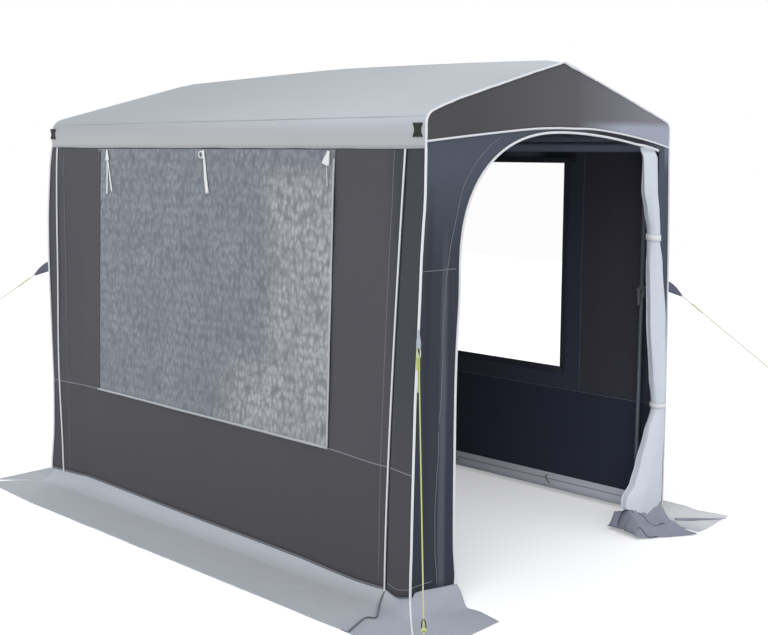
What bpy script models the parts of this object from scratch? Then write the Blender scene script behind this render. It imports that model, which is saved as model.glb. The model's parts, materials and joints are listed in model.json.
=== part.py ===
# Gable roof utility tent for a campsite
# A steel pole frame with telescopic legs carries a roof canopy, four walls and ground skirts.
# The doorway is in the front gable end, at -Y, and a foil flap covers the window on the left, at -X.
# All sizes are in metres, the ground is at z = 0 and the origin is the middle of the floor.

import math

import bmesh
import bpy
from mathutils import Matrix, Vector

# Overall shell
WIDTH = 1.80
LENGTH = 2.80
RIDGE_HEIGHT = 2.283
EAVE_CORNER_HEIGHT = 2.041
SHOULDER_RADIUS = 0.075
VALANCE_DROP = 0.0785
HEM_HEIGHT = 0.07
PANEL_SEAM_HEIGHT = 0.595
ROOF_SAG = 0.012
RIDGE_RISE = (0.0, 0.014, 0.024, 0.030, 0.033, 0.024, 0.012, 0.0, -0.010)
FRONT_SHOULDER = 0.048
REAR_SHOULDER = 0.084
FRONT_DROOP = 0.014
FRONT_DROOP_START = 0.20
GABLE_EDGE_MIDDLE_RISE = 0.094
GABLE_EDGE_SIDE_RISE = 0.013

# Cloth thicknesses and the clearance that touching pieces keep
ROOF_CLOTH = 0.0015
GABLE_CLOTH = 0.0015
WALL_CLOTH = 0.0015
FLAP_CLOTH = 0.002
SKIRT_CLOTH = 0.002
PANE_THICKNESS = 0.001
FIT_GAP = 0.0003
SEWN_CORNER_GAP = 0.0015

# How far each front corner of the walls is pulled at its hem: along X and along Y
FRONT_CORNER_PULL = {-1: (0.038, 0.038), 1: (0.020, -0.020)}
# How far the rear corners are pulled out, at the hem and at shares of the height up to the valance
REAR_CORNER_PULL = (0.050, 0.036, 0.0295, 0.0295, 0.0295, 0.0295, 0.024, 0.010, 0.0)
SIDE_SEAM_INSET = 0.117
SIDE_SEAM_SWAY = {-1: 0.098, 1: 0.050}
REAR_SEAM_INSET = 0.055
REAR_FLARE_START = 1.15
WALL_TOP_DROP = 0.008
TOP_START = 0.020

# Windows, the same on both sides
WINDOW_FRONT = -0.775
WINDOW_REAR = 0.885
WINDOW_SILL = 0.717
WINDOW_HEAD = 1.828
PANE_OVERLAP = 0.020

# Doorway in the front wall
DOOR_LEFT = -0.710
DOOR_RIGHT = 0.810
DOOR_SPRING_HEIGHT = 1.410
DOOR_TOP_X = 0.012
DOOR_TOP_HEIGHT = 1.977
DOOR_RIGHT_HEIGHT = 1.897
DOOR_ROUNDNESS = 2.15
JAMB_SHARES = (0.5, 0.93)

# Silver flap over the left window
FLAP_TOP_GAP = 0.0035
FLAP_BOTTOM = 0.590
FLAP_TOP_FRONT = -0.886
FLAP_TOP_REAR = 0.935
FLAP_BOTTOM_FRONT = -0.830
FLAP_BOTTOM_REAR = 1.020
TIE_TOP_DROP = 0.006
TIE_THICKNESS = 0.002
TIE_KNOT_THICKNESS = 0.007
TIE_KNOT_WIDTH = 0.036
TIE_TOP_WIDTH = 0.014
TIE_TAIL_WIDTH = 0.018
TIE_KNOT_DROP = 0.055
FLAP_TIES = (
    ("flap_tie_rear", 0.850, 0.240),
    ("flap_tie_middle", 0.034, 0.205),
    ("flap_tie_front", -0.824, 0.150),
)

# The right window's flap, rolled up
ROLL_RADIUS = 0.030
ROLL_STEP = 0.10
ROLL_FRONT = -0.860
ROLL_REAR = 0.970

# Ground skirts
SKIRT_SIDE_WIDTH = 0.355
SKIRT_END_WIDTH = 0.290
SKIRT_CORNER_CUT = 0.10
TURN_EASE = 0.004
SKIRT_DRAPE = ((0.02, 0.050), (0.06, 0.028), (0.12, 0.013), (0.22, 0.0), (0.60, 0.0))
SKIRT_SPLIT = 0.0006
FRONT_SKIRT_TIP_X = -0.757
CORNER_SKIRT_REACH = {-1: 0.105, 1: -0.130}
DOOR_SKIRT_START = 0.830
SLACK_SHARE = 0.88
SLACK_EDGE = ((1.165, -1.300), (1.150, -1.460), (1.140, -1.580), (1.169, -1.672), (0.990, -1.690))
MITRE_OPENING = 0.030

# Door curtain: height, middle x and y, half width, half depth, pleat depth
CURTAIN_SECTIONS = (
    (1.936, 0.700, -1.4163, 0.0540, 0.0160, 0.00),
    (1.860, 0.696, -1.4240, 0.0560, 0.0200, 0.12),
    (1.706, 0.688, -1.4350, 0.0540, 0.0290, 0.14),
    (1.600, 0.706, -1.4390, 0.0430, 0.0320, 0.12),
    (1.500, 0.724, -1.4400, 0.0315, 0.0320, 0.05),
    (1.460, 0.724, -1.4400, 0.0315, 0.0320, 0.05),
    (1.350, 0.732, -1.4400, 0.0400, 0.0335, 0.12),
    (1.058, 0.762, -1.4400, 0.0500, 0.0335, 0.14),
    (0.760, 0.801, -1.4400, 0.0475, 0.0330, 0.12),
    (0.640, 0.814, -1.4400, 0.0365, 0.0325, 0.05),
    (0.600, 0.814, -1.4400, 0.0365, 0.0325, 0.05),
    (0.492, 0.783, -1.4410, 0.0660, 0.0335, 0.12),
    (0.340, 0.757, -1.4430, 0.0920, 0.0340, 0.14),
    (0.190, 0.722, -1.4460, 0.1220, 0.0340, 0.14),
    (0.050, 0.703, -1.4470, 0.1350, 0.0320, 0.14),
)
CURTAIN_PLEATS = 7
CURTAIN_SIDES = 28
CURTAIN_TWIST = 1.3
CURTAIN_TIES = (("curtain_tie_upper", 4), ("curtain_tie_lower", 9))
CURTAIN_TIE_HEIGHT = 0.022
CURTAIN_TIE_THICKNESS = 0.003

# Crumpled skirt of the door curtain, its four corners on the ground
BUNCH_CORNERS = ((0.600, -1.270), (0.797, -1.385), (0.815, -1.690), (0.545, -1.505))
BUNCH_LOW = 0.012
BUNCH_CELLS = 8
BUNCH_FOLDS = 2.5

# Steel frame
LEG_X = 0.850
LEG_Y = 1.306
UPPER_TUBE_RADIUS = 0.0125
LOWER_TUBE_RADIUS = 0.0110
TUBE_WALL = 0.0012
SLIDE_CLEARANCE = 0.0003
TUBE_SIDES = 14
ROUND_SIDES = 20
BEND_RADIUS = 0.080
BEND_STEPS = 5
UPPER_TUBE_BOTTOM = 1.180
LEG_OVERLAP = 0.150
LEG_TRAVEL = 0.150
PLUG_DEPTH = 0.020
RIDGE_JOINT_REACH = 0.060
STUB_RADIUS = 0.0122
SPIGOT_LENGTH = 0.045
EAVE_POLE_RISE = 0.025
EAVE_POLE_RADIUS = 0.0095
COLLAR_RADIUS = 0.0175
COLLAR_HEIGHT = 0.040

# Leg clamps and their levers
CLAMP_RADIUS = 0.0185
CLAMP_LOW = 0.027
CLAMP_HIGH = 0.030
LEVER_AXIS_OUT = 0.0255
LEVER_AXIS_UP = 0.014
LEVER_HUB_RADIUS = 0.0055
LEVER_WIDTH = 0.0160
LEVER_LENGTH = 0.078
LEVER_THICKNESS = 0.0050
CHEEK_THICKNESS = 0.0035
CHEEK_RADIUS = 0.0065

# Feet
FOOT_RADIUS = 0.024
FOOT_NECK_RADIUS = 0.0155
FOOT_HEIGHT = 0.045
FOOT_WAIST = 0.020
FOOT_FLANGE = 0.008
FOOT_EDGE = 0.002
FOOT_SOLE = 0.010

# Eave clips, guy patches and guy ropes
CLIP_WIDTH = 0.054
CLIP_HEIGHT = 0.055
CLIP_WAIST = 0.034
CLIP_THICKNESS = 0.004
CLIP_INSET = {-1: 0.042, 1: 0.014}
CLIP_RISE = 0.0745
PATCH_HEIGHT = 0.056
PATCH_REACH = {-1: 0.078, 1: 0.087}
PATCH_DROP = 0.050
PATCH_TIP_HEIGHT = 0.012
PATCH_THICKNESS = 0.004
PATCH_CENTRE = {(-1, -1): 1.150, (1, -1): 1.215, (-1, 1): 1.245, (1, 1): 1.245}
ROPE_RADIUS = 0.0025
ROPE_STEP = 0.050
ROPE_LOOP_RADIUS = 0.020
ROPE_LOOP_POINTS = 11
ROPE_LOOP_TURN = math.radians(300)
# Each rope runs straight from its patch to a peg loop: the loop's position is chosen by hand
ROPES = (
    ("guy_rope_front_left", -1, -1, (-1.744, -2.172, 0.341)),
    ("guy_rope_front_right", 1, -1, (1.318, -1.818, 0.765)),
    ("guy_rope_rear_left", -1, 1, (-1.198, 1.698, 0.993)),
)
ADJUSTER_RADIUS = 0.0085
ADJUSTER_LENGTH = 0.050
ADJUSTER_BORE_GAP = 0.0004
ADJUSTER_RIM = 0.0015
ADJUSTER_FROM_LOOP = 0.090

# Worked out from the sizes above
HALF_WIDTH = WIDTH / 2
HALF_LENGTH = LENGTH / 2
ROOF_HALF = HALF_WIDTH + FIT_GAP + ROOF_CLOTH
ROOF_END = HALF_LENGTH + FIT_GAP + GABLE_CLOTH
ROOF_UNDER = ROOF_CLOTH + FIT_GAP
ROOF_SLOPE = (RIDGE_HEIGHT - EAVE_CORNER_HEIGHT) / ROOF_HALF
ROOF_ANGLE = math.atan(ROOF_SLOPE)
SHOULDER_X = ROOF_HALF - SHOULDER_RADIUS
SHOULDER_Z = RIDGE_HEIGHT - ROOF_SLOPE * SHOULDER_X - SHOULDER_RADIUS / math.cos(ROOF_ANGLE)
VALANCE_HEIGHT = SHOULDER_Z - VALANCE_DROP
GABLE_EDGE_MIDDLE = VALANCE_HEIGHT + GABLE_EDGE_MIDDLE_RISE
GABLE_EDGE_SIDE = VALANCE_HEIGHT + GABLE_EDGE_SIDE_RISE
FLAP_TOP = VALANCE_HEIGHT - FLAP_TOP_GAP
EAVE_POLE_HEIGHT = VALANCE_HEIGHT + EAVE_POLE_RISE
CLIP_CENTRE = VALANCE_HEIGHT + CLIP_RISE
WALL_HEIGHTS = (
    HEM_HEIGHT,
    PANEL_SEAM_HEIGHT / 2,
    PANEL_SEAM_HEIGHT,
    *(WINDOW_SILL + (WINDOW_HEAD - WINDOW_SILL) * k / 4 for k in range(5)),
    VALANCE_HEIGHT,
)
TUBE_UNDER_ROOF = ROOF_UNDER + UPPER_TUBE_RADIUS
UPPER_TUBE_BORE = LOWER_TUBE_RADIUS + SLIDE_CLEARANCE
SPIGOT_RADIUS = LOWER_TUBE_RADIUS
FILLET_STEPS = 4
SLOPE_STEPS = 4
ROOF_STATIONS = (-ROOF_END, *(LEG_Y * k / 3 for k in range(-3, 4)), ROOF_END)
CORNERS = (
    ("front_left", -1, -1),
    ("front_right", 1, -1),
    ("rear_left", -1, 1),
    ("rear_right", 1, 1),
)


def clear_scene():
    for item in list(bpy.data.objects):
        bpy.data.objects.remove(item, do_unlink=True)


def make_material(name, colour, roughness, metallic=0.0, alpha=1.0):
    material = bpy.data.materials.new(name)
    material.use_nodes = True
    shader = material.node_tree.nodes["Principled BSDF"]
    shader.inputs["Base Color"].default_value = (*colour, 1.0)
    shader.inputs["Roughness"].default_value = roughness
    shader.inputs["Metallic"].default_value = metallic
    shader.inputs["Alpha"].default_value = alpha
    return material


def finish_mesh(name, work, material, smooth):
    """Turn the faces outward, write the mesh to a new object and give it its material."""
    bmesh.ops.recalc_face_normals(work, faces=work.faces)
    mesh = bpy.data.meshes.new(name)
    work.to_mesh(mesh)
    work.free()
    if smooth:
        mesh.shade_smooth()
        mesh.set_sharp_from_angle(angle=math.radians(40))
    mesh.materials.append(material)
    item = bpy.data.objects.new(name, mesh)
    bpy.context.scene.collection.objects.link(item)
    return item


def set_origin(item, point):
    """Move the object's origin to a point of its joint's axis, with the mesh left in place."""
    item.data.transform(Matrix.Translation(-Vector(point)))
    item.location = point


def thick_sheet(name, face, back, material, holes=(), smooth=True):
    """A closed sheet from two matching grids of points, open at the grid cells in holes.

    Both faces are cut along the same diagonals, so that a twisted cell keeps its thickness.
    """
    work = bmesh.new()
    front = [[work.verts.new(p) for p in row] for row in face]
    rear = [[work.verts.new(p) for p in row] for row in back]
    rows = len(face) - 1
    columns = len(face[0]) - 1
    cells = {(i, j) for i in range(rows) for j in range(columns)} - set(holes)
    for i, j in cells:
        ring = ((i, j), (i, j + 1), (i + 1, j + 1), (i + 1, j))
        for half in (ring[:3], (ring[0], ring[2], ring[3])):
            work.faces.new([front[a][b] for a, b in half])
            work.faces.new([rear[a][b] for a, b in reversed(half)])
        beside = ((i - 1, j), (i, j + 1), (i + 1, j), (i, j - 1))
        for side in range(4):
            if beside[side] not in cells:
                a, b = ring[side]
                c, d = ring[(side + 1) % 4]
                work.faces.new((front[a][b], rear[a][b], rear[c][d], front[c][d]))
    for loose in [v for v in work.verts if not v.link_faces]:
        work.verts.remove(loose)
    return finish_mesh(name, work, material, smooth)


def pushed(grid, push):
    return [[p + Vector(push) for p in row] for row in grid]


def loft(name, rings, material, closed=False, smooth=True):
    """Skin a list of point rings: capped at both ends, or joined end to end when closed."""
    work = bmesh.new()
    loops = [[work.verts.new(p) for p in ring] for ring in rings]
    pairs = list(zip(loops, loops[1:]))
    if closed:
        pairs.append((loops[-1], loops[0]))
    else:
        work.faces.new(loops[0])
        work.faces.new(loops[-1])
    for low, high in pairs:
        count = len(low)
        for k in range(count):
            n = (k + 1) % count
            work.faces.new((low[k], low[n], high[n], high[k]))
    return finish_mesh(name, work, material, smooth)


def turned(name, profile, material, centre=(0, 0, 0), turn=None, steps=TUBE_SIDES):
    """Spin a closed outline of radius and height points round the Z axis."""
    rings = []
    for k in range(steps):
        angle = 2 * math.pi * (k + 0.5) / steps
        spin = Vector((math.cos(angle), math.sin(angle), 0))
        rings.append([spin * r + Vector((0, 0, z)) for r, z in profile])
    item = loft(name, rings, material, closed=True)
    if turn is not None:
        item.data.transform(turn)
    item.data.transform(Matrix.Translation(centre))
    return item


def extruded(name, outline, push, material, smooth=False):
    """A flat outline of 3-D points pushed along one direction."""
    work = bmesh.new()
    face = work.faces.new([work.verts.new(p) for p in outline])
    result = bmesh.ops.extrude_face_region(work, geom=[face])
    moved = [v for v in result["geom"] if isinstance(v, bmesh.types.BMVert)]
    bmesh.ops.translate(work, verts=moved, vec=Vector(push))
    return finish_mesh(name, work, material, smooth)


def circle(centre, radius, axis_a, axis_b, sides=TUBE_SIDES):
    """Points of a circle in the plane of two unit directions."""
    points = []
    for k in range(sides):
        angle = 2 * math.pi * (k + 0.5) / sides
        points.append(centre + radius * (math.cos(angle) * axis_a + math.sin(angle) * axis_b))
    return points


def unite(item, parts):
    """Join helper solids to the object and hide them as guides."""
    for part in parts:
        part.hide_render = True
        part.display_type = "WIRE"
        union = item.modifiers.new(part.name, "BOOLEAN")
        union.operation = "UNION"
        union.solver = "EXACT"
        union.object = part


def hem_share(z, power):
    """Pull of a wall corner at a height, 1 at the hem and 0 at the valance."""
    share = (z - HEM_HEIGHT) / (VALANCE_HEIGHT - HEM_HEIGHT)
    return 1 - min(max(share, 0.0), 1.0) ** power


def between(value, stops, heights):
    """The height on a line of straight pieces."""
    for k in range(len(stops) - 1):
        if value <= stops[k + 1] or k == len(stops) - 2:
            share = min(max((value - stops[k]) / (stops[k + 1] - stops[k]), 0.0), 1.0)
            return heights[k] + (heights[k + 1] - heights[k]) * share


def corner(side, end, z):
    """The outer corner line of the walls."""
    if end > 0:
        pull = between(z, WALL_HEIGHTS, REAR_CORNER_PULL)
        return Vector((side * (HALF_WIDTH + pull), HALF_LENGTH + pull, z))
    out, along = FRONT_CORNER_PULL[side]
    pull = hem_share(z, 2)
    return Vector((side * (HALF_WIDTH + out * pull), -HALF_LENGTH + along * pull, z))


def roof_line(x, inset):
    """Height of the roof's straight slope, set in by a thickness."""
    return RIDGE_HEIGHT - ROOF_SLOPE * abs(x) - inset / math.cos(ROOF_ANGLE)


def shoulder_radius(y):
    """The eave is tight at the front gable and rounder at the rear one."""
    share = (y + ROOF_END) / (2 * ROOF_END)
    return FRONT_SHOULDER + (REAR_SHOULDER - FRONT_SHOULDER) * share


def crown(x, y):
    """The bowed ridge lifts the roof, most at the ridge and not at all at the eaves."""
    rise = between(y, ROOF_STATIONS, RIDGE_RISE)
    return rise * max(0.0, 1 - abs(x) / (ROOF_HALF - shoulder_radius(y)))


def front_droop(x, y):
    """The roof's front right corner hangs a little, past the front arch."""
    beyond = min(max((-y - LEG_Y) / (ROOF_END - LEG_Y), 0.0), 1.0)
    side = min(max((x - FRONT_DROOP_START) / (HALF_WIDTH - FRONT_DROOP_START), 0.0), 1.0)
    return FRONT_DROOP * beyond * side ** 1.2


def roof_section(inset, low, y):
    """The roof's cross-section at y, set in by a thickness, from the left valance to the right."""
    turn = shoulder_radius(y)
    centre_x = ROOF_HALF - turn
    centre_z = roof_line(centre_x, turn)
    half = [(ROOF_HALF - inset, low)]
    for k in range(FILLET_STEPS + 1):
        angle = (math.pi / 2 - ROOF_ANGLE) * k / FILLET_STEPS
        x = centre_x + (turn - inset) * math.cos(angle)
        half.append((x, centre_z + (turn - inset) * math.sin(angle)))
    start = half[-1][0]
    for k in range(1, SLOPE_STEPS + 1):
        x = start * (1 - k / SLOPE_STEPS)
        half.append((x, roof_line(x, inset)))
    both = [(-x, z) for x, z in half] + half[-2::-1]
    return [(x, z + crown(x, y) - front_droop(x, y)) for x, z in both]


def roof_sag(x, y):
    """The canopy hangs a little between its poles and arches."""
    if abs(y) >= LEG_Y or abs(x) >= LEG_X:
        return 0.0
    return ROOF_SAG * math.sin(math.pi * abs(x) / LEG_X) ** 2 * math.cos(math.pi * y / (2 * LEG_Y))


def add_canopy(material):
    grids = []
    for inset in (0.0, ROOF_CLOTH):
        rows = []
        for y in ROOF_STATIONS:
            section = roof_section(inset, VALANCE_HEIGHT, y)
            rows.append([Vector((x, y, z - roof_sag(x, y))) for x, z in section])
        grids.append(rows)
    thick_sheet("roof_canopy", grids[0], grids[1], material)


def gable_edge(x):
    """Height of the gable's arched lower edge."""
    return GABLE_EDGE_MIDDLE - (GABLE_EDGE_MIDDLE - GABLE_EDGE_SIDE) * (x / HALF_WIDTH) ** 2


def add_gable(name, end, material):
    y = end * ROOF_END
    section = roof_section(ROOF_UNDER, GABLE_EDGE_SIDE + TOP_START, y)
    low = []
    for k in range(len(section)):
        x = HALF_WIDTH * (2 * k / (len(section) - 1) - 1)
        low.append(Vector((x, y, gable_edge(x) - front_droop(x, y))))
    high = [Vector((x, y, z)) for x, z in section]
    middle = [a.lerp(b, 0.5) for a, b in zip(low, high)]
    face = [low, middle, high]
    thick_sheet(name, face, pushed(face, (0, -end * GABLE_CLOTH, 0)), material)


def door_outline(count):
    """The doorway's arched head: a round left shoulder and a long slope to the right jamb."""
    points = []
    half = count // 2
    for k in range(half + 1):
        angle = math.pi / 2 * k / half
        reach = math.cos(angle)
        rise = (1 - reach ** DOOR_ROUNDNESS) ** (1 / DOOR_ROUNDNESS)
        x = DOOR_TOP_X + (DOOR_LEFT - DOOR_TOP_X) * reach
        z = DOOR_SPRING_HEIGHT + (DOOR_TOP_HEIGHT - DOOR_SPRING_HEIGHT) * rise
        points.append((x, z))
    for k in range(1, half + 1):
        share = k / half
        x = DOOR_TOP_X + (DOOR_RIGHT - DOOR_TOP_X) * share
        z = DOOR_TOP_HEIGHT - (DOOR_TOP_HEIGHT - DOOR_RIGHT_HEIGHT) * share ** 2
        points.append((x, z))
    return points


def add_front_wall(material):
    jamb = [HEM_HEIGHT, HEM_HEIGHT + (PANEL_SEAM_HEIGHT - HEM_HEIGHT) / 2, PANEL_SEAM_HEIGHT]
    for share in JAMB_SHARES:
        jamb.append(PANEL_SEAM_HEIGHT + (DOOR_SPRING_HEIGHT - PANEL_SEAM_HEIGHT) * share)
    section = roof_section(ROOF_UNDER, VALANCE_HEIGHT, -HALF_LENGTH)
    outer = [corner(-1, -1, z) for z in jamb]
    outer += [Vector((x, -HALF_LENGTH, z)) for x, z in section]
    outer += [corner(1, -1, z) for z in reversed(jamb)]
    inner = [Vector((DOOR_LEFT, -HALF_LENGTH, z)) for z in jamb]
    inner += [Vector((x, -HALF_LENGTH, z)) for x, z in door_outline(len(section) - 1)]
    inner += [Vector((DOOR_RIGHT, -HALF_LENGTH, z)) for z in reversed(jamb)]
    middle = [a.lerp(b, 0.5) for a, b in zip(outer, inner)]
    face = [outer, middle, inner]
    thick_sheet("front_wall", face, pushed(face, (0, WALL_CLOTH, 0)), material)


def add_rear_wall(material):
    section = roof_section(ROOF_UNDER, VALANCE_HEIGHT + TOP_START, HALF_LENGTH)
    half = section[-1][0]
    face = []
    for z in WALL_HEIGHTS:
        edge = corner(1, 1, z)
        face.append([Vector((edge.x * x / half, edge.y, z)) for x, top in section])
    face.append([Vector((x, HALF_LENGTH, top)) for x, top in section])
    thick_sheet("rear_wall", face, pushed(face, (0, -WALL_CLOTH, 0)), material)


def side_seam(side, z):
    """Y of the piped seam near the front corner of a side wall."""
    return -HALF_LENGTH + SIDE_SEAM_INSET + SIDE_SEAM_SWAY[side] * hem_share(z, 2)


def side_wall_line(side, z):
    """Outer points of a side wall at one height, from the front corner to the rear one."""
    setback = Vector((0, WALL_CLOTH + SEWN_CORNER_GAP, 0))
    front = corner(side, -1, z) + setback
    rear = corner(side, 1, z) - setback
    seam = Vector((side * HALF_WIDTH, side_seam(side, z), z))
    flare = Vector((side * HALF_WIDTH, REAR_FLARE_START, z))
    share = (rear.y - REAR_SEAM_INSET - flare.y) / (rear.y - flare.y)
    line = [front, front.lerp(seam, 0.5), seam]
    window = [WINDOW_FRONT + (WINDOW_REAR - WINDOW_FRONT) * k / 4 for k in range(5)]
    line += [Vector((side * HALF_WIDTH, y, z)) for y in window]
    line += [flare, flare.lerp(rear, share), rear]
    return line


def add_side_wall(name, side, material):
    top = SHOULDER_Z - WALL_TOP_DROP
    heights = [*WALL_HEIGHTS, top]
    face = [side_wall_line(side, z) for z in heights]
    rows = [i for i, z in enumerate(heights[:-1]) if WINDOW_SILL <= z < WINDOW_HEAD - FIT_GAP]
    holes = [(i, j) for i in rows for j in range(3, 7)]
    thick_sheet(name, face, pushed(face, (-side * WALL_CLOTH, 0, 0)), material, holes)


def flat_panel(name, x, thickness, corners, material, across=6, up=5):
    """A sheet in a plane of constant x between four corners given as y, z pairs."""
    low_front, low_rear, high_rear, high_front = [Vector((x, y, z)) for y, z in corners]
    face = []
    for i in range(up + 1):
        a = low_front.lerp(high_front, i / up)
        b = low_rear.lerp(high_rear, i / up)
        face.append([a.lerp(b, k / across) for k in range(across + 1)])
    return thick_sheet(name, face, pushed(face, (thickness, 0, 0)), material)


def add_pane(name, side, material):
    x = side * (HALF_WIDTH - WALL_CLOTH - FIT_GAP)
    front = WINDOW_FRONT - PANE_OVERLAP
    rear = WINDOW_REAR + PANE_OVERLAP
    low = WINDOW_SILL - PANE_OVERLAP
    high = WINDOW_HEAD + PANE_OVERLAP
    corners = ((front, low), (rear, low), (rear, high), (front, high))
    flat_panel(name, x, -side * PANE_THICKNESS, corners, material, 1, 1)


def add_flap(material):
    outer = -(HALF_WIDTH + FIT_GAP + FLAP_CLOTH)
    corners = (
        (FLAP_BOTTOM_FRONT, FLAP_BOTTOM),
        (FLAP_BOTTOM_REAR, FLAP_BOTTOM),
        (FLAP_TOP_REAR, FLAP_TOP),
        (FLAP_TOP_FRONT, FLAP_TOP),
    )
    item = flat_panel("left_window_flap", outer, FLAP_CLOTH, corners, material)
    set_origin(item, (outer + FLAP_CLOTH / 2, 0, FLAP_TOP))


def add_flap_tie(name, y, length, material):
    """A white tape: a folded knot at the top, then a flat tail that widens a little."""
    back = -(HALF_WIDTH + FIT_GAP + FLAP_CLOTH + FIT_GAP)
    top = FLAP_TOP - TIE_TOP_DROP
    rows = (
        (0.0, TIE_TOP_WIDTH, TIE_THICKNESS),
        (TIE_KNOT_DROP * 0.85, TIE_KNOT_WIDTH, TIE_KNOT_THICKNESS),
        (TIE_KNOT_DROP, TIE_KNOT_WIDTH * 0.9, TIE_KNOT_THICKNESS * 0.8),
        (TIE_KNOT_DROP * 1.06, TIE_TAIL_WIDTH * 0.55, TIE_THICKNESS),
        (length * 0.75, TIE_TAIL_WIDTH * 0.7, TIE_THICKNESS),
        (length, TIE_TAIL_WIDTH, TIE_THICKNESS),
    )
    face = []
    rear = []
    for drop, width, depth in rows:
        ys = [y - width / 2, y, y + width / 2]
        face.append([Vector((back - depth, v, top - drop)) for v in ys])
        rear.append([Vector((back, v, top - drop)) for v in ys])
    item = thick_sheet(name, face, rear, material, smooth=False)
    set_origin(item, (back - TIE_THICKNESS / 2, y, top))


def add_roll(material):
    """The rolled up flap of the right window, with the loose end of the roll as a step."""
    centre_x = HALF_WIDTH + FIT_GAP + ROLL_RADIUS
    centre_z = (WINDOW_HEAD + VALANCE_HEIGHT) / 2 - 0.004
    sides = 20
    rings = []
    for y in (ROLL_FRONT, (ROLL_FRONT + ROLL_REAR) / 2, ROLL_REAR):
        ring = []
        for k in range(sides):
            angle = math.pi + 2 * math.pi * k / sides
            radius = ROLL_RADIUS * (1 - ROLL_STEP * k / sides)
            ring.append(Vector((centre_x + radius * math.cos(angle), y,
                                centre_z + radius * math.sin(angle))))
        rings.append(ring)
    loft("right_window_roll", rings, material)


def skirt(name, inner, outer, material):
    """A ground skirt between its sewn edge and its free edge, given as x, y pairs."""
    drape = [(0.0, HEM_HEIGHT - FIT_GAP)]
    drape += [(share, z + SKIRT_CLOTH) for share, z in SKIRT_DRAPE]
    drape.append((1.0, SKIRT_CLOTH))
    face = []
    for share, z in drape:
        line = []
        for (ax, ay), (bx, by) in zip(inner, outer):
            line.append(Vector((ax + (bx - ax) * share, ay + (by - ay) * share, z)))
        face.append(line)
    thick_sheet(name, face, pushed(face, (0, 0, -SKIRT_CLOTH)), material)


def skirt_edge_x(side):
    return side * (HALF_WIDTH + SKIRT_SIDE_WIDTH)


def skirt_edge_y(end):
    return end * (HALF_LENGTH + SKIRT_END_WIDTH)


def sewn_point(side, end):
    """Where the skirt's sewn edge turns a corner, under the wall's hem."""
    point = corner(side, end, HEM_HEIGHT)
    return (point.x - side * WALL_CLOTH, point.y - end * WALL_CLOTH)


def add_side_skirt(name, side, material):
    front = side_seam(side, HEM_HEIGHT) + SKIRT_SPLIT
    reach = front - CORNER_SKIRT_REACH[side]
    seam_x = side * (HALF_WIDTH - WALL_CLOTH)
    rear_x, rear_y = sewn_point(side, 1)
    inner = [(seam_x, front), (seam_x, 0.0), (seam_x, REAR_FLARE_START)]
    inner.append((rear_x, rear_y - SKIRT_SPLIT))
    edge_x = skirt_edge_x(side)
    edge_y = skirt_edge_y(1)
    outer = [(edge_x, reach), (edge_x, 0.0), (edge_x, REAR_FLARE_START)]
    outer.append((edge_x - side * MITRE_OPENING, edge_y))
    skirt(name, inner, outer, material)


def add_rear_skirt(material):
    inner = []
    outer = []
    left = sewn_point(-1, 1)
    right = sewn_point(1, 1)
    edge = skirt_edge_x(1) - 3 * MITRE_OPENING
    for k in range(5):
        share = k / 4
        x = left[0] + SKIRT_SPLIT + (right[0] - left[0] - 2 * SKIRT_SPLIT) * share
        inner.append((x, left[1]))
        outer.append((edge * (2 * share - 1), skirt_edge_y(1)))
    skirt("skirt_rear", inner, outer, material)


def corner_skirt_line(side, jamb):
    """Sewn edge of a skirt that goes round a front corner, from the side seam to the door jamb."""
    seam = (side * (HALF_WIDTH - WALL_CLOTH), side_seam(side, HEM_HEIGHT) - SKIRT_SPLIT)
    turn = sewn_point(side, -1)
    jamb_y = -HALF_LENGTH + WALL_CLOTH
    inner = [seam, ((seam[0] + turn[0]) / 2, (seam[1] + turn[1]) / 2)]
    inner.append((turn[0], turn[1] + TURN_EASE))
    inner.append(turn)
    inner.append((turn[0] - side * TURN_EASE, turn[1]))
    inner.append(((turn[0] + jamb) / 2, (turn[1] + jamb_y) / 2))
    inner.append((jamb, jamb_y))
    return inner


def add_front_left_skirt(material):
    """The skirt pulled flat round the front left corner, with its outer corner cut round."""
    inner = corner_skirt_line(-1, DOOR_LEFT)
    edge_x = skirt_edge_x(-1)
    edge_y = skirt_edge_y(-1)
    reach = inner[0][1] - CORNER_SKIRT_REACH[-1]
    cut = SKIRT_CORNER_CUT
    outer = [(edge_x, reach)]
    outer.append((edge_x, (reach + edge_y + cut) / 2))
    outer.append((edge_x, edge_y + cut))
    outer.append((edge_x + cut * 0.3, edge_y + cut * 0.3))
    outer.append((edge_x + cut, edge_y))
    outer.append(((edge_x + cut + FRONT_SKIRT_TIP_X) / 2, edge_y))
    outer.append((FRONT_SKIRT_TIP_X, edge_y))
    skirt("skirt_front_left", inner, outer, material)


def add_front_right_skirt(material):
    """The slack skirt at the front right corner, drawn in beside the curtain's skirt."""
    inner = corner_skirt_line(1, DOOR_SKIRT_START)
    seam = Vector(inner[0])
    reach = Vector((skirt_edge_x(1), seam.y - CORNER_SKIRT_REACH[1]))
    start = seam.lerp(reach, SLACK_SHARE)
    outer = [(start.x, start.y - SKIRT_SPLIT)]
    outer += SLACK_EDGE
    outer.append((DOOR_SKIRT_START, skirt_edge_y(-1)))
    skirt("skirt_front_right", inner, outer, material)


def curtain_ring(section, grow=0.0, sides=CURTAIN_SIDES, pleated=True):
    z, middle_x, middle_y, half_x, half_y, pleat = section
    ring = []
    for k in range(sides):
        angle = 2 * math.pi * k / sides
        wave = math.cos(CURTAIN_PLEATS * angle + CURTAIN_TWIST * z) if pleated else 1.0
        swell = 1 + pleat * wave
        x = middle_x + (half_x * swell + grow) * math.cos(angle)
        y = middle_y + (half_y * swell + grow) * math.sin(angle)
        ring.append(Vector((x, y, z)))
    return ring


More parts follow.
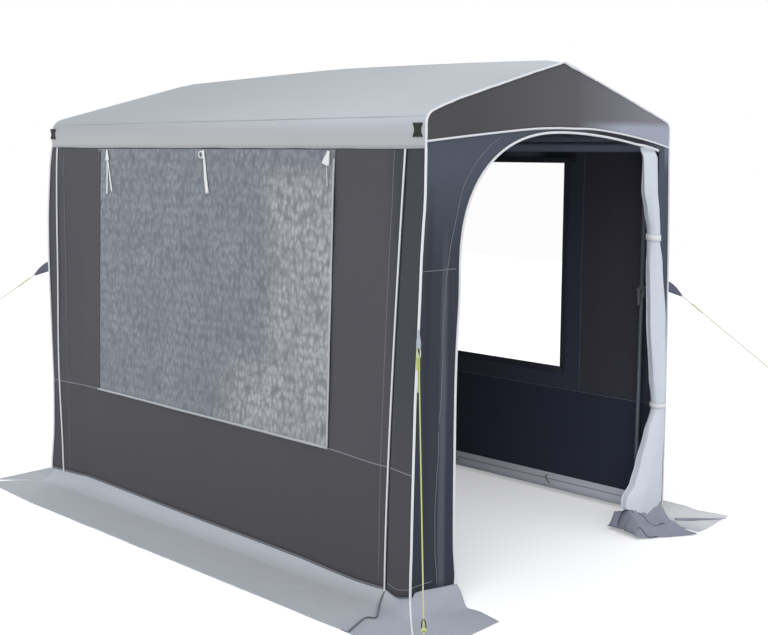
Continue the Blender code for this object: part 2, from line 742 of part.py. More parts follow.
def add_curtain(material):
    rings = [curtain_ring(section) for section in CURTAIN_SECTIONS]
    loft("door_curtain", rings, material)


def add_curtain_tie(name, index, material):
    """A tape round the curtain where two of its sections are alike."""
    high = CURTAIN_SECTIONS[index]
    low = CURTAIN_SECTIONS[index + 1]
    middle = (high[0] + low[0]) / 2
    rings = []
    for lift, grow in ((-0.5, 0.0), (0.5, 0.0), (0.5, 1.0), (-0.5, 1.0)):
        section = (middle + lift * CURTAIN_TIE_HEIGHT, *high[1:])
        rings.append(curtain_ring(section, FIT_GAP + grow * CURTAIN_TIE_THICKNESS, pleated=False))
    loft(name, rings, material, closed=True)


def add_curtain_skirt(material):
    """The crumpled cloth under the curtain: folds that rise to the curtain's lower end."""
    a, b, c, d = [Vector((x, y, 0)) for x, y in BUNCH_CORNERS]
    high = CURTAIN_SECTIONS[-1][0] - FIT_GAP
    face = []
    base = []
    for i in range(BUNCH_CELLS + 1):
        v = i / BUNCH_CELLS
        line = []
        for k in range(BUNCH_CELLS + 1):
            u = k / BUNCH_CELLS
            point = a.lerp(b, u).lerp(d.lerp(c, u), v)
            fold = abs(math.sin(math.pi * (BUNCH_FOLDS * v + 0.8 * u - 0.35)))
            edge = min(1.0, 6 * u * (1 - u)) * min(1.0, 6 * v * (1 - v))
            line.append(point + Vector((0, 0, BUNCH_LOW + (high - BUNCH_LOW) * fold * edge)))
        face.append(line)
        base.append([Vector((p.x, p.y, 0)) for p in line])
    peak = max((p for line in face for p in line), key=lambda p: p.z)
    peak.z = high
    thick_sheet("door_curtain_skirt", face, base, material)


def arch_path(side, y):
    """Centre line of an upper tube: up the leg, round the eave and up the rafter."""
    axis_x = LEG_X
    knee_z = roof_line(axis_x, TUBE_UNDER_ROOF)
    turn = math.pi / 2 - ROOF_ANGLE
    cut = BEND_RADIUS * math.tan(turn / 2)
    centre = Vector((axis_x - BEND_RADIUS, 0, knee_z - cut))
    points = [Vector((axis_x, 0, UPPER_TUBE_BOTTOM))]
    for k in range(BEND_STEPS + 1):
        angle = turn * k / BEND_STEPS
        points.append(centre + BEND_RADIUS * Vector((math.cos(angle), 0, math.sin(angle))))
    points.append(Vector((RIDGE_JOINT_REACH, 0, roof_line(RIDGE_JOINT_REACH, TUBE_UNDER_ROOF))))
    return [Vector((side * p.x, y, p.z + crown(p.x, y))) for p in points]


def tube_rings(path, radius, across):
    """Rings square to a flat path, whose plane has the normal across."""
    rings = []
    for k, point in enumerate(path):
        before = path[max(k - 1, 0)]
        after = path[min(k + 1, len(path) - 1)]
        into = (point - before).normalized() if k else (after - point).normalized()
        away = (after - point).normalized() if k < len(path) - 1 else into
        along = (into + away).normalized()
        rings.append(circle(point, radius, along.cross(across), across))
    return rings


def add_arch_tube(name, side, end, material):
    """A bent steel tube, open at its foot for the lower leg and at its top for the ridge joint."""
    path = arch_path(side, end * LEG_Y)
    across = Vector((0, 1, 0))
    bore = tube_rings(path, UPPER_TUBE_BORE, across)
    rings = bore[::-1] + tube_rings(path, UPPER_TUBE_RADIUS, across)
    loft(name, rings, material, closed=True)


def add_ridge_joint(name, end, material):
    """An elbow with a spigot into each rafter and a stub that carries the ridge pole."""
    y = end * LEG_Y
    across = Vector((0, 1, 0))
    peak = Vector((0, y, roof_line(0, TUBE_UNDER_ROOF) + crown(0, y)))
    left = Vector((-RIDGE_JOINT_REACH, y, roof_line(RIDGE_JOINT_REACH, TUBE_UNDER_ROOF)))
    left.z += crown(RIDGE_JOINT_REACH, y)
    right = Vector((RIDGE_JOINT_REACH, y, left.z))
    rise = (peak - left).normalized()
    fall = (right - peak).normalized()
    body = [left + rise * FIT_GAP, peak, right - fall * FIT_GAP]
    ends = (left - rise * SPIGOT_LENGTH, right + fall * SPIGOT_LENGTH)
    rings = [circle(p, SPIGOT_RADIUS, rise.cross(across), across) for p in (ends[0], body[0])]
    rings += tube_rings(body, UPPER_TUBE_RADIUS, across)
    rings += [circle(p, SPIGOT_RADIUS, fall.cross(across), across) for p in (body[2], ends[1])]
    item = loft(name, rings, material)
    stub_end = end * (LEG_Y - RIDGE_JOINT_REACH)
    spigot_end = end * (LEG_Y - RIDGE_JOINT_REACH - SPIGOT_LENGTH)
    up = Vector((0, 0, 1))
    side = Vector((1, 0, 0))
    reach = [(y, STUB_RADIUS), (stub_end, STUB_RADIUS)]
    reach += [(stub_end, SPIGOT_RADIUS), (spigot_end, SPIGOT_RADIUS)]
    stub = [circle(Vector((0, v, peak.z)), radius, side, up) for v, radius in reach]
    unite(item, [loft(name + "_stub", stub, material)])


def add_ridge_pole(material):
    """A tube that slides over the stubs of the two ridge joints and bows up between them."""
    reach = LEG_Y - RIDGE_JOINT_REACH - FIT_GAP
    straight = reach - SPIGOT_LENGTH - STUB_RADIUS
    base = roof_line(0, TUBE_UNDER_ROOF)
    line = [(y, base + crown(0, y)) for y in ROOF_STATIONS[2:-2]]
    for end in (-1, 1):
        height = base + crown(0, end * LEG_Y)
        line += [(end * straight, height), (end * reach, height)]
    line.sort()
    side = Vector((1, 0, 0))
    up = Vector((0, 0, 1))
    rings = []
    for radius, stops in ((UPPER_TUBE_BORE, line[::-1]), (UPPER_TUBE_RADIUS, line)):
        rings += [circle(Vector((0, y, z)), radius, side, up) for y, z in stops]
    loft("ridge_pole", rings, material, closed=True)


def add_eave_pole(name, side, material):
    """A pole from arch to arch with a collar round the leg at each end."""
    x = side * LEG_X
    reach = LEG_Y - (COLLAR_RADIUS + UPPER_TUBE_RADIUS) / 2
    along = Vector((1, 0, 0))
    up = Vector((0, 0, 1))
    rings = []
    for y in (-reach, reach):
        rings.append(circle(Vector((x, y, EAVE_POLE_HEIGHT)), EAVE_POLE_RADIUS, along, up))
    item = loft(name, rings, material)
    bore = UPPER_TUBE_RADIUS + FIT_GAP
    half = COLLAR_HEIGHT / 2
    profile = ((bore, -half), (COLLAR_RADIUS, -half), (COLLAR_RADIUS, half), (bore, half))
    collars = []
    for end in (-1, 1):
        centre = (x, end * LEG_Y, EAVE_POLE_HEIGHT)
        collars.append(turned(f"{name}_collar_{end + 1}", profile, material, centre))
    unite(item, collars)
    hole = []
    inside = LEG_Y - bore / 2
    for y in (-inside, inside):
        centre = Vector((x, y, EAVE_POLE_HEIGHT))
        hole.append(circle(centre, EAVE_POLE_RADIUS - TUBE_WALL, along, up))
    cutter = loft(name + "_bore", hole, material)
    cutter.hide_render = True
    cutter.display_type = "WIRE"
    cut = item.modifiers.new(cutter.name, "BOOLEAN")
    cut.operation = "DIFFERENCE"
    cut.solver = "EXACT"
    cut.object = cutter


def add_lower_leg(name, side, end, material):
    """The telescoping leg, hollow from its top down to the foot."""
    x = side * LEG_X
    y = end * LEG_Y
    top = UPPER_TUBE_BOTTOM + LEG_OVERLAP + LEG_TRAVEL
    bottom = FOOT_SOLE + FIT_GAP
    hollow = LOWER_TUBE_RADIUS - TUBE_WALL
    stops = ((bottom + PLUG_DEPTH, hollow), (top, hollow), (top, LOWER_TUBE_RADIUS),
             (bottom, LOWER_TUBE_RADIUS))
    across = Vector((0, 1, 0))
    along = Vector((1, 0, 0))
    rings = [circle(Vector((x, y, z)), radius, along, across) for z, radius in stops]
    item = loft(name, rings, material)
    set_origin(item, (x, y, UPPER_TUBE_BOTTOM))


def add_foot(name, side, end, material):
    """A moulded boot: flat sole, waisted side and a socket for the tube."""
    bore = LOWER_TUBE_RADIUS + FIT_GAP
    profile = ((bore, FOOT_SOLE), (bore, FOOT_HEIGHT), (FOOT_NECK_RADIUS - FOOT_EDGE, FOOT_HEIGHT),
               (FOOT_NECK_RADIUS, FOOT_HEIGHT - FOOT_EDGE), (FOOT_NECK_RADIUS, FOOT_WAIST),
               (FOOT_RADIUS, FOOT_FLANGE), (FOOT_RADIUS, FOOT_EDGE), (FOOT_RADIUS - FOOT_EDGE, 0.0))
    centre = Vector((side * LEG_X, end * LEG_Y, 0))
    along = Vector((1, 0, 0))
    across = Vector((0, 1, 0))
    rings = []
    for radius, z in profile:
        rings.append(circle(centre + Vector((0, 0, z)), radius, along, across, ROUND_SIDES))
    item = loft(name, rings, material)
    set_origin(item, (centre.x, centre.y, UPPER_TUBE_BOTTOM))


def add_clamp(name, side, end, material):
    """A collar round the joint of the two tubes, with two cheeks for the lever's hub."""
    x = side * LEG_X
    y = end * LEG_Y
    step = UPPER_TUBE_BOTTOM - FIT_GAP
    low = UPPER_TUBE_BOTTOM - CLAMP_LOW
    high = UPPER_TUBE_BOTTOM + CLAMP_HIGH
    tight = LOWER_TUBE_RADIUS + SLIDE_CLEARANCE
    wide = UPPER_TUBE_RADIUS + FIT_GAP
    bevel = 0.0015
    profile = ((tight, low), (CLAMP_RADIUS - bevel, low), (CLAMP_RADIUS, low + bevel),
               (CLAMP_RADIUS, high - bevel), (CLAMP_RADIUS - bevel, high), (wide, high),
               (wide, step), (tight, step))
    item = turned(name, profile, material, (x, y, 0), steps=ROUND_SIDES)
    axis = lever_axis(side, end)
    root = x - side * (CLAMP_RADIUS - 0.006)
    cheeks = []
    for hand in (-1, 1):
        start = y + hand * (LEVER_WIDTH / 2 + FIT_GAP)
        outline = [Vector((root, start, axis.z - CHEEK_RADIUS))]
        for k in range(7):
            angle = math.pi * (k / 6 - 0.5)
            outline.append(Vector((axis.x - side * CHEEK_RADIUS * math.cos(angle), start,
                                   axis.z + CHEEK_RADIUS * math.sin(angle))))
        outline.append(Vector((root, start, axis.z + CHEEK_RADIUS)))
        push = (0, hand * CHEEK_THICKNESS, 0)
        cheeks.append(extruded(f"{name}_cheek_{hand + 1}", outline, push, material))
    unite(item, cheeks)


def lever_axis(side, end):
    return Vector((side * (LEG_X - LEVER_AXIS_OUT), end * LEG_Y, UPPER_TUBE_BOTTOM + LEVER_AXIS_UP))


def add_lever(name, side, end, material):
    """A quick release lever that lies down along the leg when it is shut."""
    axis = lever_axis(side, end)
    start = axis.y - LEVER_WIDTH / 2
    hub = LEVER_HUB_RADIUS
    shape = []
    for k in range(9):
        angle = math.pi * k / 8
        shape.append((hub * math.cos(angle), hub * math.sin(angle)))
    tip = LEVER_LENGTH
    shape += [(-hub, -hub), (-hub + 0.002, -tip * 0.8), (-hub + 0.006, -tip)]
    shape += [(-hub + 0.008, -tip), (-hub + LEVER_THICKNESS + 0.002, -tip * 0.78), (hub, -hub)]
    outline = [Vector((axis.x - side * out, start, axis.z + up)) for out, up in shape]
    item = extruded(name, outline, (0, LEVER_WIDTH, 0), material)
    set_origin(item, axis)


def add_clip(name, side, end, material):
    """A black hourglass clip on the side valance near the corner."""
    x = side * (ROOF_HALF + FIT_GAP)
    middle_y = end * (HALF_LENGTH - CLIP_INSET[end])
    outline = []
    for turn in (1, -1):
        for k in range(7):
            up = CLIP_HEIGHT / 2 * (1 - k / 3) * turn
            share = abs(up) / (CLIP_HEIGHT / 2)
            half = (CLIP_WAIST + (CLIP_WIDTH - CLIP_WAIST) * share ** 1.6) / 2
            outline.append(Vector((x, middle_y + turn * half, CLIP_CENTRE + up)))
    extruded(name, outline, (side * CLIP_THICKNESS, 0, 0), material)


def patch_base(side, end):
    outward = Vector((side, end, 0)).normalized()
    return corner(side, end, PATCH_CENTRE[(side, end)]) + outward * (FIT_GAP * 2), outward


def patch_tip(side, end):
    base, outward = patch_base(side, end)
    return base + outward * PATCH_REACH[end] - Vector((0, 0, PATCH_DROP)), outward


def add_patch(name, side, end, material):
    """A folded triangle of webbing sewn to the corner, drawn out and down by the rope."""
    base, outward = patch_base(side, end)
    tip, outward = patch_tip(side, end)
    flat = Vector((-outward.y, outward.x, 0))
    up = Vector((0, 0, 1))
    low = corner(side, end, base.z - PATCH_HEIGHT / 2) + outward * (FIT_GAP * 2)
    high = corner(side, end, base.z + PATCH_HEIGHT / 2) + outward * (FIT_GAP * 2)
    outline = [low, tip - up * PATCH_TIP_HEIGHT / 2, tip + up * PATCH_TIP_HEIGHT / 2]
    outline += [base.lerp(tip, 0.45) + up * (PATCH_HEIGHT * 0.36), high]
    shifted = [p - flat * PATCH_THICKNESS / 2 for p in outline]
    extruded(name, shifted, flat * PATCH_THICKNESS, material)


def rope_ends(side, end, loop):
    """Start of the rope, just off its patch, and the unit direction to its peg loop."""
    tip, outward = patch_tip(side, end)
    start = tip + outward * FIT_GAP
    along = (Vector(loop) - start).normalized()
    return start + along * ROPE_RADIUS * 0.8, along


def add_rope(name, side, end, loop, material):
    """A taut rope that ends in an open loop for a peg."""
    start, along = rope_ends(side, end, loop)
    finish = Vector(loop)
    count = math.ceil((finish - start).length / ROPE_STEP)
    points = [start.lerp(finish, k / count) for k in range(count + 1)]
    level = Vector((0, 0, 1)).cross(along).normalized()
    lift = along.cross(level)
    centre = finish + lift * ROPE_LOOP_RADIUS
    for k in range(1, ROPE_LOOP_POINTS + 1):
        angle = ROPE_LOOP_TURN * k / ROPE_LOOP_POINTS
        points.append(centre + ROPE_LOOP_RADIUS * (math.sin(angle) * along - math.cos(angle) * lift))
    curve = bpy.data.curves.new(name, "CURVE")
    curve.dimensions = "3D"
    curve.bevel_depth = ROPE_RADIUS
    curve.bevel_resolution = 2
    curve.use_fill_caps = True
    curve.materials.append(material)
    spline = curve.splines.new("POLY")
    spline.points.add(len(points) - 1)
    for spot, point in zip(spline.points, points):
        spot.co = (*point, 1.0)
    item = bpy.data.objects.new(name, curve)
    bpy.context.scene.collection.objects.link(item)


def add_adjuster(material):
    """A moulded slider on the front left rope, bored for the rope."""
    loop = Vector(ROPES[0][3])
    start, along = rope_ends(-1, -1, loop)
    centre = loop - along * ADJUSTER_FROM_LOOP
    half = ADJUSTER_LENGTH / 2
    bore = ROPE_RADIUS + ADJUSTER_BORE_GAP
    rim = bore + ADJUSTER_RIM
    profile = [(bore, -half)]
    for k in range(7):
        angle = math.pi * k / 6
        radius = rim + (ADJUSTER_RADIUS - rim) * math.sin(angle)
        profile.append((radius, -half * math.cos(angle)))
    profile.append((bore, half))
    turn = along.to_track_quat("Z", "Y").to_matrix().to_4x4()
    item = turned("rope_adjuster", profile, material, centre, turn, steps=12)
    set_origin(item, centre)


def build():
    clear_scene()
    roof = make_material("roof_cloth", (0.50, 0.52, 0.54), 0.75)
    dark = make_material("wall_cloth", (0.085, 0.088, 0.100), 0.80)
    gable = make_material("gable_cloth", (0.100, 0.102, 0.106), 0.80)
    pale = make_material("skirt_cloth", (0.33, 0.36, 0.40), 0.65)
    curtain = make_material("curtain_cloth", (0.58, 0.62, 0.68), 0.70)
    foil = make_material("foil_flap", (0.32, 0.33, 0.34), 0.40, 0.5)
    tape = make_material("white_tape", (0.80, 0.80, 0.80), 0.60)
    net = make_material("window_net", (0.05, 0.05, 0.05), 0.80)
    film = make_material("clear_film", (0.90, 0.92, 0.94), 0.10, 0.0, 0.15)
    steel = make_material("painted_steel", (0.16, 0.17, 0.19), 0.45, 0.6)
    zinc = make_material("zinc_steel", (0.50, 0.51, 0.53), 0.35, 0.9)
    plastic = make_material("black_plastic", (0.02, 0.02, 0.022), 0.45)
    grey = make_material("grey_plastic", (0.22, 0.22, 0.23), 0.45)
    webbing = make_material("grey_webbing", (0.15, 0.16, 0.19), 0.75)
    rope = make_material("lime_rope", (0.55, 0.66, 0.10), 0.60)

    add_canopy(roof)
    add_gable("front_gable", -1, gable)
    add_gable("rear_gable", 1, gable)
    add_front_wall(dark)
    add_rear_wall(dark)
    add_side_wall("left_wall", -1, dark)
    add_side_wall("right_wall", 1, dark)
    add_pane("left_window_net", -1, net)
    add_pane("right_window_film", 1, film)
    add_flap(foil)
    for name, y, length in FLAP_TIES:
        add_flap_tie(name, y, length, tape)
    add_roll(foil)
    add_side_skirt("skirt_left", -1, pale)
    add_side_skirt("skirt_right", 1, pale)
    add_rear_skirt(pale)
    add_front_left_skirt(pale)
    add_front_right_skirt(pale)
    add_curtain(curtain)
    add_curtain_skirt(pale)
    for name, index in CURTAIN_TIES:
        add_curtain_tie(name, index, tape)
    for name, side, end in CORNERS:
        add_arch_tube("arch_tube_" + name, side, end, steel)
        add_lower_leg("lower_leg_" + name, side, end, zinc)
        add_foot("leg_foot_" + name, side, end, plastic)
        add_clamp("leg_clamp_" + name, side, end, grey)
        add_lever("clamp_lever_" + name, side, end, grey)
        add_clip("eave_clip_" + name, side, end, plastic)
        add_patch("guy_patch_" + name, side, end, webbing)
    add_ridge_joint("ridge_joint_front", -1, plastic)
    add_ridge_joint("ridge_joint_rear", 1, plastic)
    add_ridge_pole(steel)
    add_eave_pole("eave_pole_left", -1, steel)
    add_eave_pole("eave_pole_right", 1, steel)
    for name, side, end, loop in ROPES:
        add_rope(name, side, end, loop, rope)
    add_adjuster(plastic)


build()
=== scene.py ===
# %% [markdown]
# # A gable roof utility tent
# The real object is a small steel framed tent of cloth: a pale roof, charcoal walls, a silver
# flap over one window, a doorway with a tied back curtain and ground skirts all round.
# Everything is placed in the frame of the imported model, in metres, so a cloth lies exactly on
# the frame that carries it and nothing has to be fitted by eye.

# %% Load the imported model
import json
import math
from itertools import accumulate
import bmesh
import bpy
from mathutils import Matrix, Vector, noise

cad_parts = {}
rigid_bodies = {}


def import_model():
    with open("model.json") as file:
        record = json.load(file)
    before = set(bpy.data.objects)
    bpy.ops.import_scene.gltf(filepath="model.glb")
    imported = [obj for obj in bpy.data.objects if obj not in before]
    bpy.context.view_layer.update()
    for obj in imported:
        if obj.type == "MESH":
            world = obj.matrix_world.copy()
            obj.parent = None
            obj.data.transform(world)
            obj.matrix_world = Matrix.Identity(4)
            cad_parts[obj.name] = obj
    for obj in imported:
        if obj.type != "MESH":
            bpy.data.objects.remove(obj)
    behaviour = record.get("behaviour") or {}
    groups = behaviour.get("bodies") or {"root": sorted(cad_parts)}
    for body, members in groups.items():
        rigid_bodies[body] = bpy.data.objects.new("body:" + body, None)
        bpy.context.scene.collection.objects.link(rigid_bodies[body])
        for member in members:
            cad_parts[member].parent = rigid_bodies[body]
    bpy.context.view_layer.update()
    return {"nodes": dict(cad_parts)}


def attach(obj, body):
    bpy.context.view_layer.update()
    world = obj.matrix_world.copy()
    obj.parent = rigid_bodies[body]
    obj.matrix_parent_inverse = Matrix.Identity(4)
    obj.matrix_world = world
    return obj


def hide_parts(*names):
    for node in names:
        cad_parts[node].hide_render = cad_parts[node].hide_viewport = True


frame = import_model()

# %% [markdown]
# ## The camera
# The picture was taken a little above eye height, at the front left corner. A camera is a
# position, three axes and a focal length. Writing the axes out as vectors keeps the yaw, the
# pitch and the small roll apart, which is easier to correct than three Euler angles.

# %% Place the camera
YAW, PITCH, ROLL = math.radians(45.75), math.radians(-8.23), math.radians(0.09)
CAMERA_PLACE = Vector((-4.3623, -4.5439, 1.913))

ahead = Vector((math.cos(PITCH) * math.sin(YAW), math.cos(PITCH) * math.cos(YAW), math.sin(PITCH)))
level = Vector((math.cos(YAW), -math.sin(YAW), 0))
above = level.cross(ahead)
across = level * math.cos(ROLL) + above * math.sin(ROLL)
upright = above * math.cos(ROLL) - level * math.sin(ROLL)

camera_data = bpy.data.cameras.new("photo_camera")
camera_data.lens = 55.337
camera_data.sensor_width = 36.0
camera = bpy.data.objects.new("photo_camera", camera_data)
bpy.context.scene.collection.objects.link(camera)
turn = Matrix((across, upright, -ahead)).transposed()
camera.matrix_world = Matrix.Translation(CAMERA_PLACE) @ turn.to_4x4()
bpy.context.scene.camera = camera
bpy.context.scene.view_settings.view_transform = "Standard"
print("camera at", tuple(round(x, 3) for x in CAMERA_PLACE), "lens", camera_data.lens)

# %% [markdown]
# ## Shared measures
# These are the sizes that the cloth is cut to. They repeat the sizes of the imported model, and
# every later cell takes its places from them, so a seam drawn on a wall is always on the wall.

# %% Write down the tent's sizes
HALF_WIDTH = 0.900
HALF_LENGTH = 1.400
RIDGE_HEIGHT = 2.283
SHOULDER_RADIUS = 0.075
HEM_HEIGHT = 0.070
PANEL_SEAM_HEIGHT = 0.595
CLOTH = 0.0015
FIT_GAP = 0.0003
ROOF_HALF = HALF_WIDTH + FIT_GAP + CLOTH
ROOF_END = HALF_LENGTH + FIT_GAP + CLOTH
ROOF_SLOPE = (RIDGE_HEIGHT - 2.041) / ROOF_HALF
ROOF_ANGLE = math.atan(ROOF_SLOPE)
SHOULDER_X = ROOF_HALF - SHOULDER_RADIUS
SHOULDER_Z = RIDGE_HEIGHT - ROOF_SLOPE * SHOULDER_X - SHOULDER_RADIUS / math.cos(ROOF_ANGLE)
VALANCE_HEIGHT = SHOULDER_Z - 0.0785
LEG_X, LEG_Y = 0.850, 1.306
SIDES = (("left", -1), ("right", 1))
CORNERS = {"front_left": (-1, -1), "front_right": (1, -1),
           "rear_left": (-1, 1), "rear_right": (1, 1)}
UP = Vector((0, 0, 1))
print("shoulder", round(SHOULDER_Z, 4), "valance", round(VALANCE_HEIGHT, 4))

# %% [markdown]
# Few lines of a real tent are straight. The ridge is bowed, the corners lean out toward the
# ground, the left hem sinks toward the door. Such a line is given by a few measured values,
# and a smooth curve is drawn through them. This one is a Catmull-Rom curve: its slope at each
# stop is that of the line between the two neighbours, so it has no kinks.

# %% Draw curves through measured values
def curve_at(value, stops, heights):
    k = 0
    while k < len(stops) - 2 and value > stops[k + 1]:
        k += 1
    t = min(max((value - stops[k]) / (stops[k + 1] - stops[k]), 0.0), 1.0)
    a, b = heights[k], heights[k + 1]
    before, after = heights[max(k - 1, 0)], heights[min(k + 2, len(heights) - 1)]
    return 0.5 * (2 * a + (b - before) * t + (2 * before - 5 * a + 4 * b - after) * t ** 2
                  + (3 * a - before - 3 * b + after) * t ** 3)


def rising(low, high, steps=30):
    """Evenly spaced values from low to high, which may be numbers or points."""
    return [low + (high - low) * k / steps for k in range(steps + 1)]


def through(stops):
    """Values through stops, each given with the number of steps that lead to it."""
    line = [stops[0][0]]
    for (a, _), (b, steps) in zip(stops, stops[1:]):
        line += rising(a, b, steps)[1:]
    return line


def runs(line):
    """How far along a line each of its points lies."""
    return list(accumulate(((b - a).length for a, b in zip(line, line[1:])), initial=0.0))


def path_length(line):
    return runs(line)[-1]


def headings(line):
    """The direction of a line at each of its points."""
    return [(b - a).normalized() for a, b in zip(line[:1] + line[:-1], line[1:] + line[-1:])]


def even(points, count):
    """The same line with its points spread evenly along it."""
    far, out, k = runs(points), [], 0
    for want in rising(0.0, far[-1], count):
        while k < len(points) - 2 and far[k + 1] < want:
            k += 1
        share = (want - far[k]) / max(far[k + 1] - far[k], 1e-9)
        out.append(points[k].lerp(points[k + 1], min(max(share, 0), 1)))
    return out


def round_line(centre, one_way, other_way, steps=40):
    """A closed line round a centre. Its two ways give its directions and its half sizes."""
    return [centre + one_way * math.cos(a) + other_way * math.sin(a)
            for a in rising(0.0, 2 * math.pi, steps)]


def smooth_step(share):
    share = min(max(share, 0.0), 1.0)
    return share * share * (3 - 2 * share)


def rumple(point, size, seed=0.0):
    return noise.noise(Vector(point) / size + Vector((seed, seed * 0.37, -seed)))


print("halfway along a smooth curve:", curve_at(0.5, (0, 1), (0, 1)))

# %% Draw the corner lines of the walls
LEFT_HEIGHTS = (HEM_HEIGHT, 0.25, 0.90, 1.25, 1.47, 1.60, 1.70, VALANCE_HEIGHT)
LEFT_PULL = (0.0380, 0.0355, 0.0265, 0.0165, 0.0112, 0.0062, 0.0016, 0.0)
PULL_HEIGHTS = (HEM_HEIGHT, 0.2975, 0.595, 0.717, 1.2725, 1.550, 1.828, VALANCE_HEIGHT)
REAR_PULL = (0.050, 0.036, 0.0295, 0.0295, 0.0295, 0.024, 0.010, 0.0)


def hem_share(z, power):
    share = (z - HEM_HEIGHT) / (VALANCE_HEIGHT - HEM_HEIGHT)
    return 1 - min(max(share, 0.0), 1.0) ** power


def corner(side, end, z):
    if end > 0:
        pull = curve_at(z, PULL_HEIGHTS, REAR_PULL)
        return Vector((side * (HALF_WIDTH + pull), HALF_LENGTH + pull, z))
    if side < 0:
        pull = curve_at(z, LEFT_HEIGHTS, LEFT_PULL)
        return Vector((-HALF_WIDTH - pull, -HALF_LENGTH + pull, z))
    pull = 0.020 * hem_share(z, 2)
    return Vector((HALF_WIDTH + pull, -HALF_LENGTH - pull, z))


print("front left hem corner", corner(-1, -1, HEM_HEIGHT))

# %% Let the left hem sink toward the door
HEM_PLACES = (-1.362, -1.27, -1.19, -1.12, -0.965, -0.635, -0.2, 0.34, 0.835, 1.294, 1.45)
HEM_RISES = (-0.008, -0.036, -0.030, -0.035, -0.0385, -0.026, -0.020, -0.0133, -0.004, 0.002,
             0.006)
FRONT_HEM_PLACES = (-0.938, -0.918, -0.88, -0.78, -0.70)
FRONT_HEM_RISES = (-0.008, 0.006, 0.008, 0.004, 0.000)


def hem_rise(x, y):
    if x > 0:
        return 0.0
    if y < -1.3625:
        return curve_at(x, FRONT_HEM_PLACES, FRONT_HEM_RISES)
    return curve_at(y, HEM_PLACES, HEM_RISES)


print("hem sinks by", round(hem_rise(-1, -1.3), 3), "at the door")

# %% [markdown]
# ## The guy ropes
# A guy rope is a limp braided line that a peg outside the picture holds taut, so it runs
# straight from the webbing patch to an open loop for its peg. A curve with a bevel would make
# the tube, but a mesh made ring by ring can also carry the three strands that twist round
# each other, and its map coordinates run along the rope, where the braid is drawn.

# %% Lay out the ropes' routes
ROPE_RADIUS = 0.0025
ROPE_LOOP_RADIUS = 0.020
PATCH_CENTRE = {(-1, -1): 1.150, (1, -1): 1.215, (-1, 1): 1.245, (1, 1): 1.245}
PATCH_REACH, PATCH_DROP = {-1: 0.078, 1: 0.087}, 0.050
PEG_LOOPS = {(-1, -1): (-1.744, -2.172, 0.341), (1, -1): (1.318, -1.818, 0.765),
             (-1, 1): (-1.198, 1.698, 0.993)}


def patch_tip(side, end):
    outward = Vector((side, end, 0)).normalized()
    base = corner(side, end, PATCH_CENTRE[(side, end)]) + outward * (2 * FIT_GAP)
    return base, base + outward * PATCH_REACH[end] - UP * PATCH_DROP, outward


def rope_route(side, end):
    base, tip, outward = patch_tip(side, end)
    start = tip + outward * FIT_GAP
    finish = Vector(PEG_LOOPS[(side, end)])
    along = (finish - start).normalized()
    start += along * ROPE_RADIUS * 0.8
    points = rising(start, finish, math.ceil((finish - start).length / 0.05))
    lift = along.cross(UP.cross(along).normalized()) * ROPE_LOOP_RADIUS
    points += [finish + lift + math.sin(a) * along * ROPE_LOOP_RADIUS - math.cos(a) * lift
               for a in rising(0.0, math.radians(300), 11)[1:]]
    return points, along


for place in PEG_LOOPS:
    print("rope", place, round(path_length(rope_route(*place)[0]), 3), "m")

# %% [markdown]
# ## Finishes
# Woven polyester is used nearly everywhere on the tent: roof, walls, skirts, curtain. What
# changes is the colour and how much the cloth creases. So the weave is one node group with
# named inputs, and each finish places it with its own values. The group gives out a colour, a
# roughness and a height. The shader stays in the material.

# %% A helper for node trees
class Flow:
    """An output of a node tree. A sum written with flows adds the maths nodes for it."""

    def __init__(self, tree, socket):
        self.tree, self.socket = tree, socket

    def maths(self, operation, other=0.0):
        return node(self.tree, "Math", {0: self, 1: other}, operation=operation)

    def __add__(self, other):
        return self.maths("ADD", other)

    def __sub__(self, other):
        return self.maths("SUBTRACT", other)

    def __mul__(self, other):
        return self.maths("MULTIPLY", other)

    def __truediv__(self, other):
        return self.maths("DIVIDE", other)


def plug(value, slot):
    """Wire a flow into a slot, or set the slot to a plain value."""
    if isinstance(value, Flow):
        value.tree.links.new(value.socket, slot)
    else:
        slot.default_value = value


def node(tree, kind, inputs=None, output=0, **settings):
    made = tree.nodes.new("ShaderNode" + kind)
    for key, value in settings.items():
        setattr(made, key, value)
    for key, value in (inputs or {}).items():
        plug(value, made.inputs[key])
    return Flow(tree, made.outputs[output])


def clamped(flow):
    flow.socket.node.use_clamp = True
    return flow


def parts_of(flow):
    """The x, y and z of a flow of vectors."""
    made = node(flow.tree, "SeparateXYZ", {0: flow}).socket.node
    return [Flow(flow.tree, socket) for socket in made.outputs]


def scaled(flow, scale):
    return node(flow.tree, "VectorMath", {0: flow, "Scale": scale}, operation="SCALE")


def mixed(share, first, second):
    return node(share.tree, "Mix", {0: share, 6: first, 7: second}, 2, data_type="RGBA")


def blotches(place, scale, detail=2.0, roughness=0.5):
    return node(place.tree, "TexNoise", {"Vector": place, "Scale": scale, "Detail": detail,
                                         "Roughness": roughness})


def new_group(name, inputs, outputs):
    """Begin a node group: the tree, its inputs as flows, and the slots of its outputs."""
    tree = bpy.data.node_groups.new(name, "ShaderNodeTree")
    kinds = {1: "NodeSocketFloat", 3: "NodeSocketVector", 4: "NodeSocketColor"}
    for label, value in inputs.items():
        kind = kinds[len(value) if isinstance(value, tuple) else 1]
        socket = tree.interface.new_socket(name=label, in_out="INPUT", socket_type=kind)
        socket.default_value = value
    for label in outputs:
        kind = kinds[4 if label == "Colour" else 1]
        tree.interface.new_socket(name=label, in_out="OUTPUT", socket_type=kind)
    start, end = tree.nodes.new("NodeGroupInput"), tree.nodes.new("NodeGroupOutput")
    return tree, {label: Flow(tree, start.outputs[label]) for label in inputs}, end.inputs


def give(slots, *results):
    for slot, result in zip(slots, results):
        plug(result, slot)


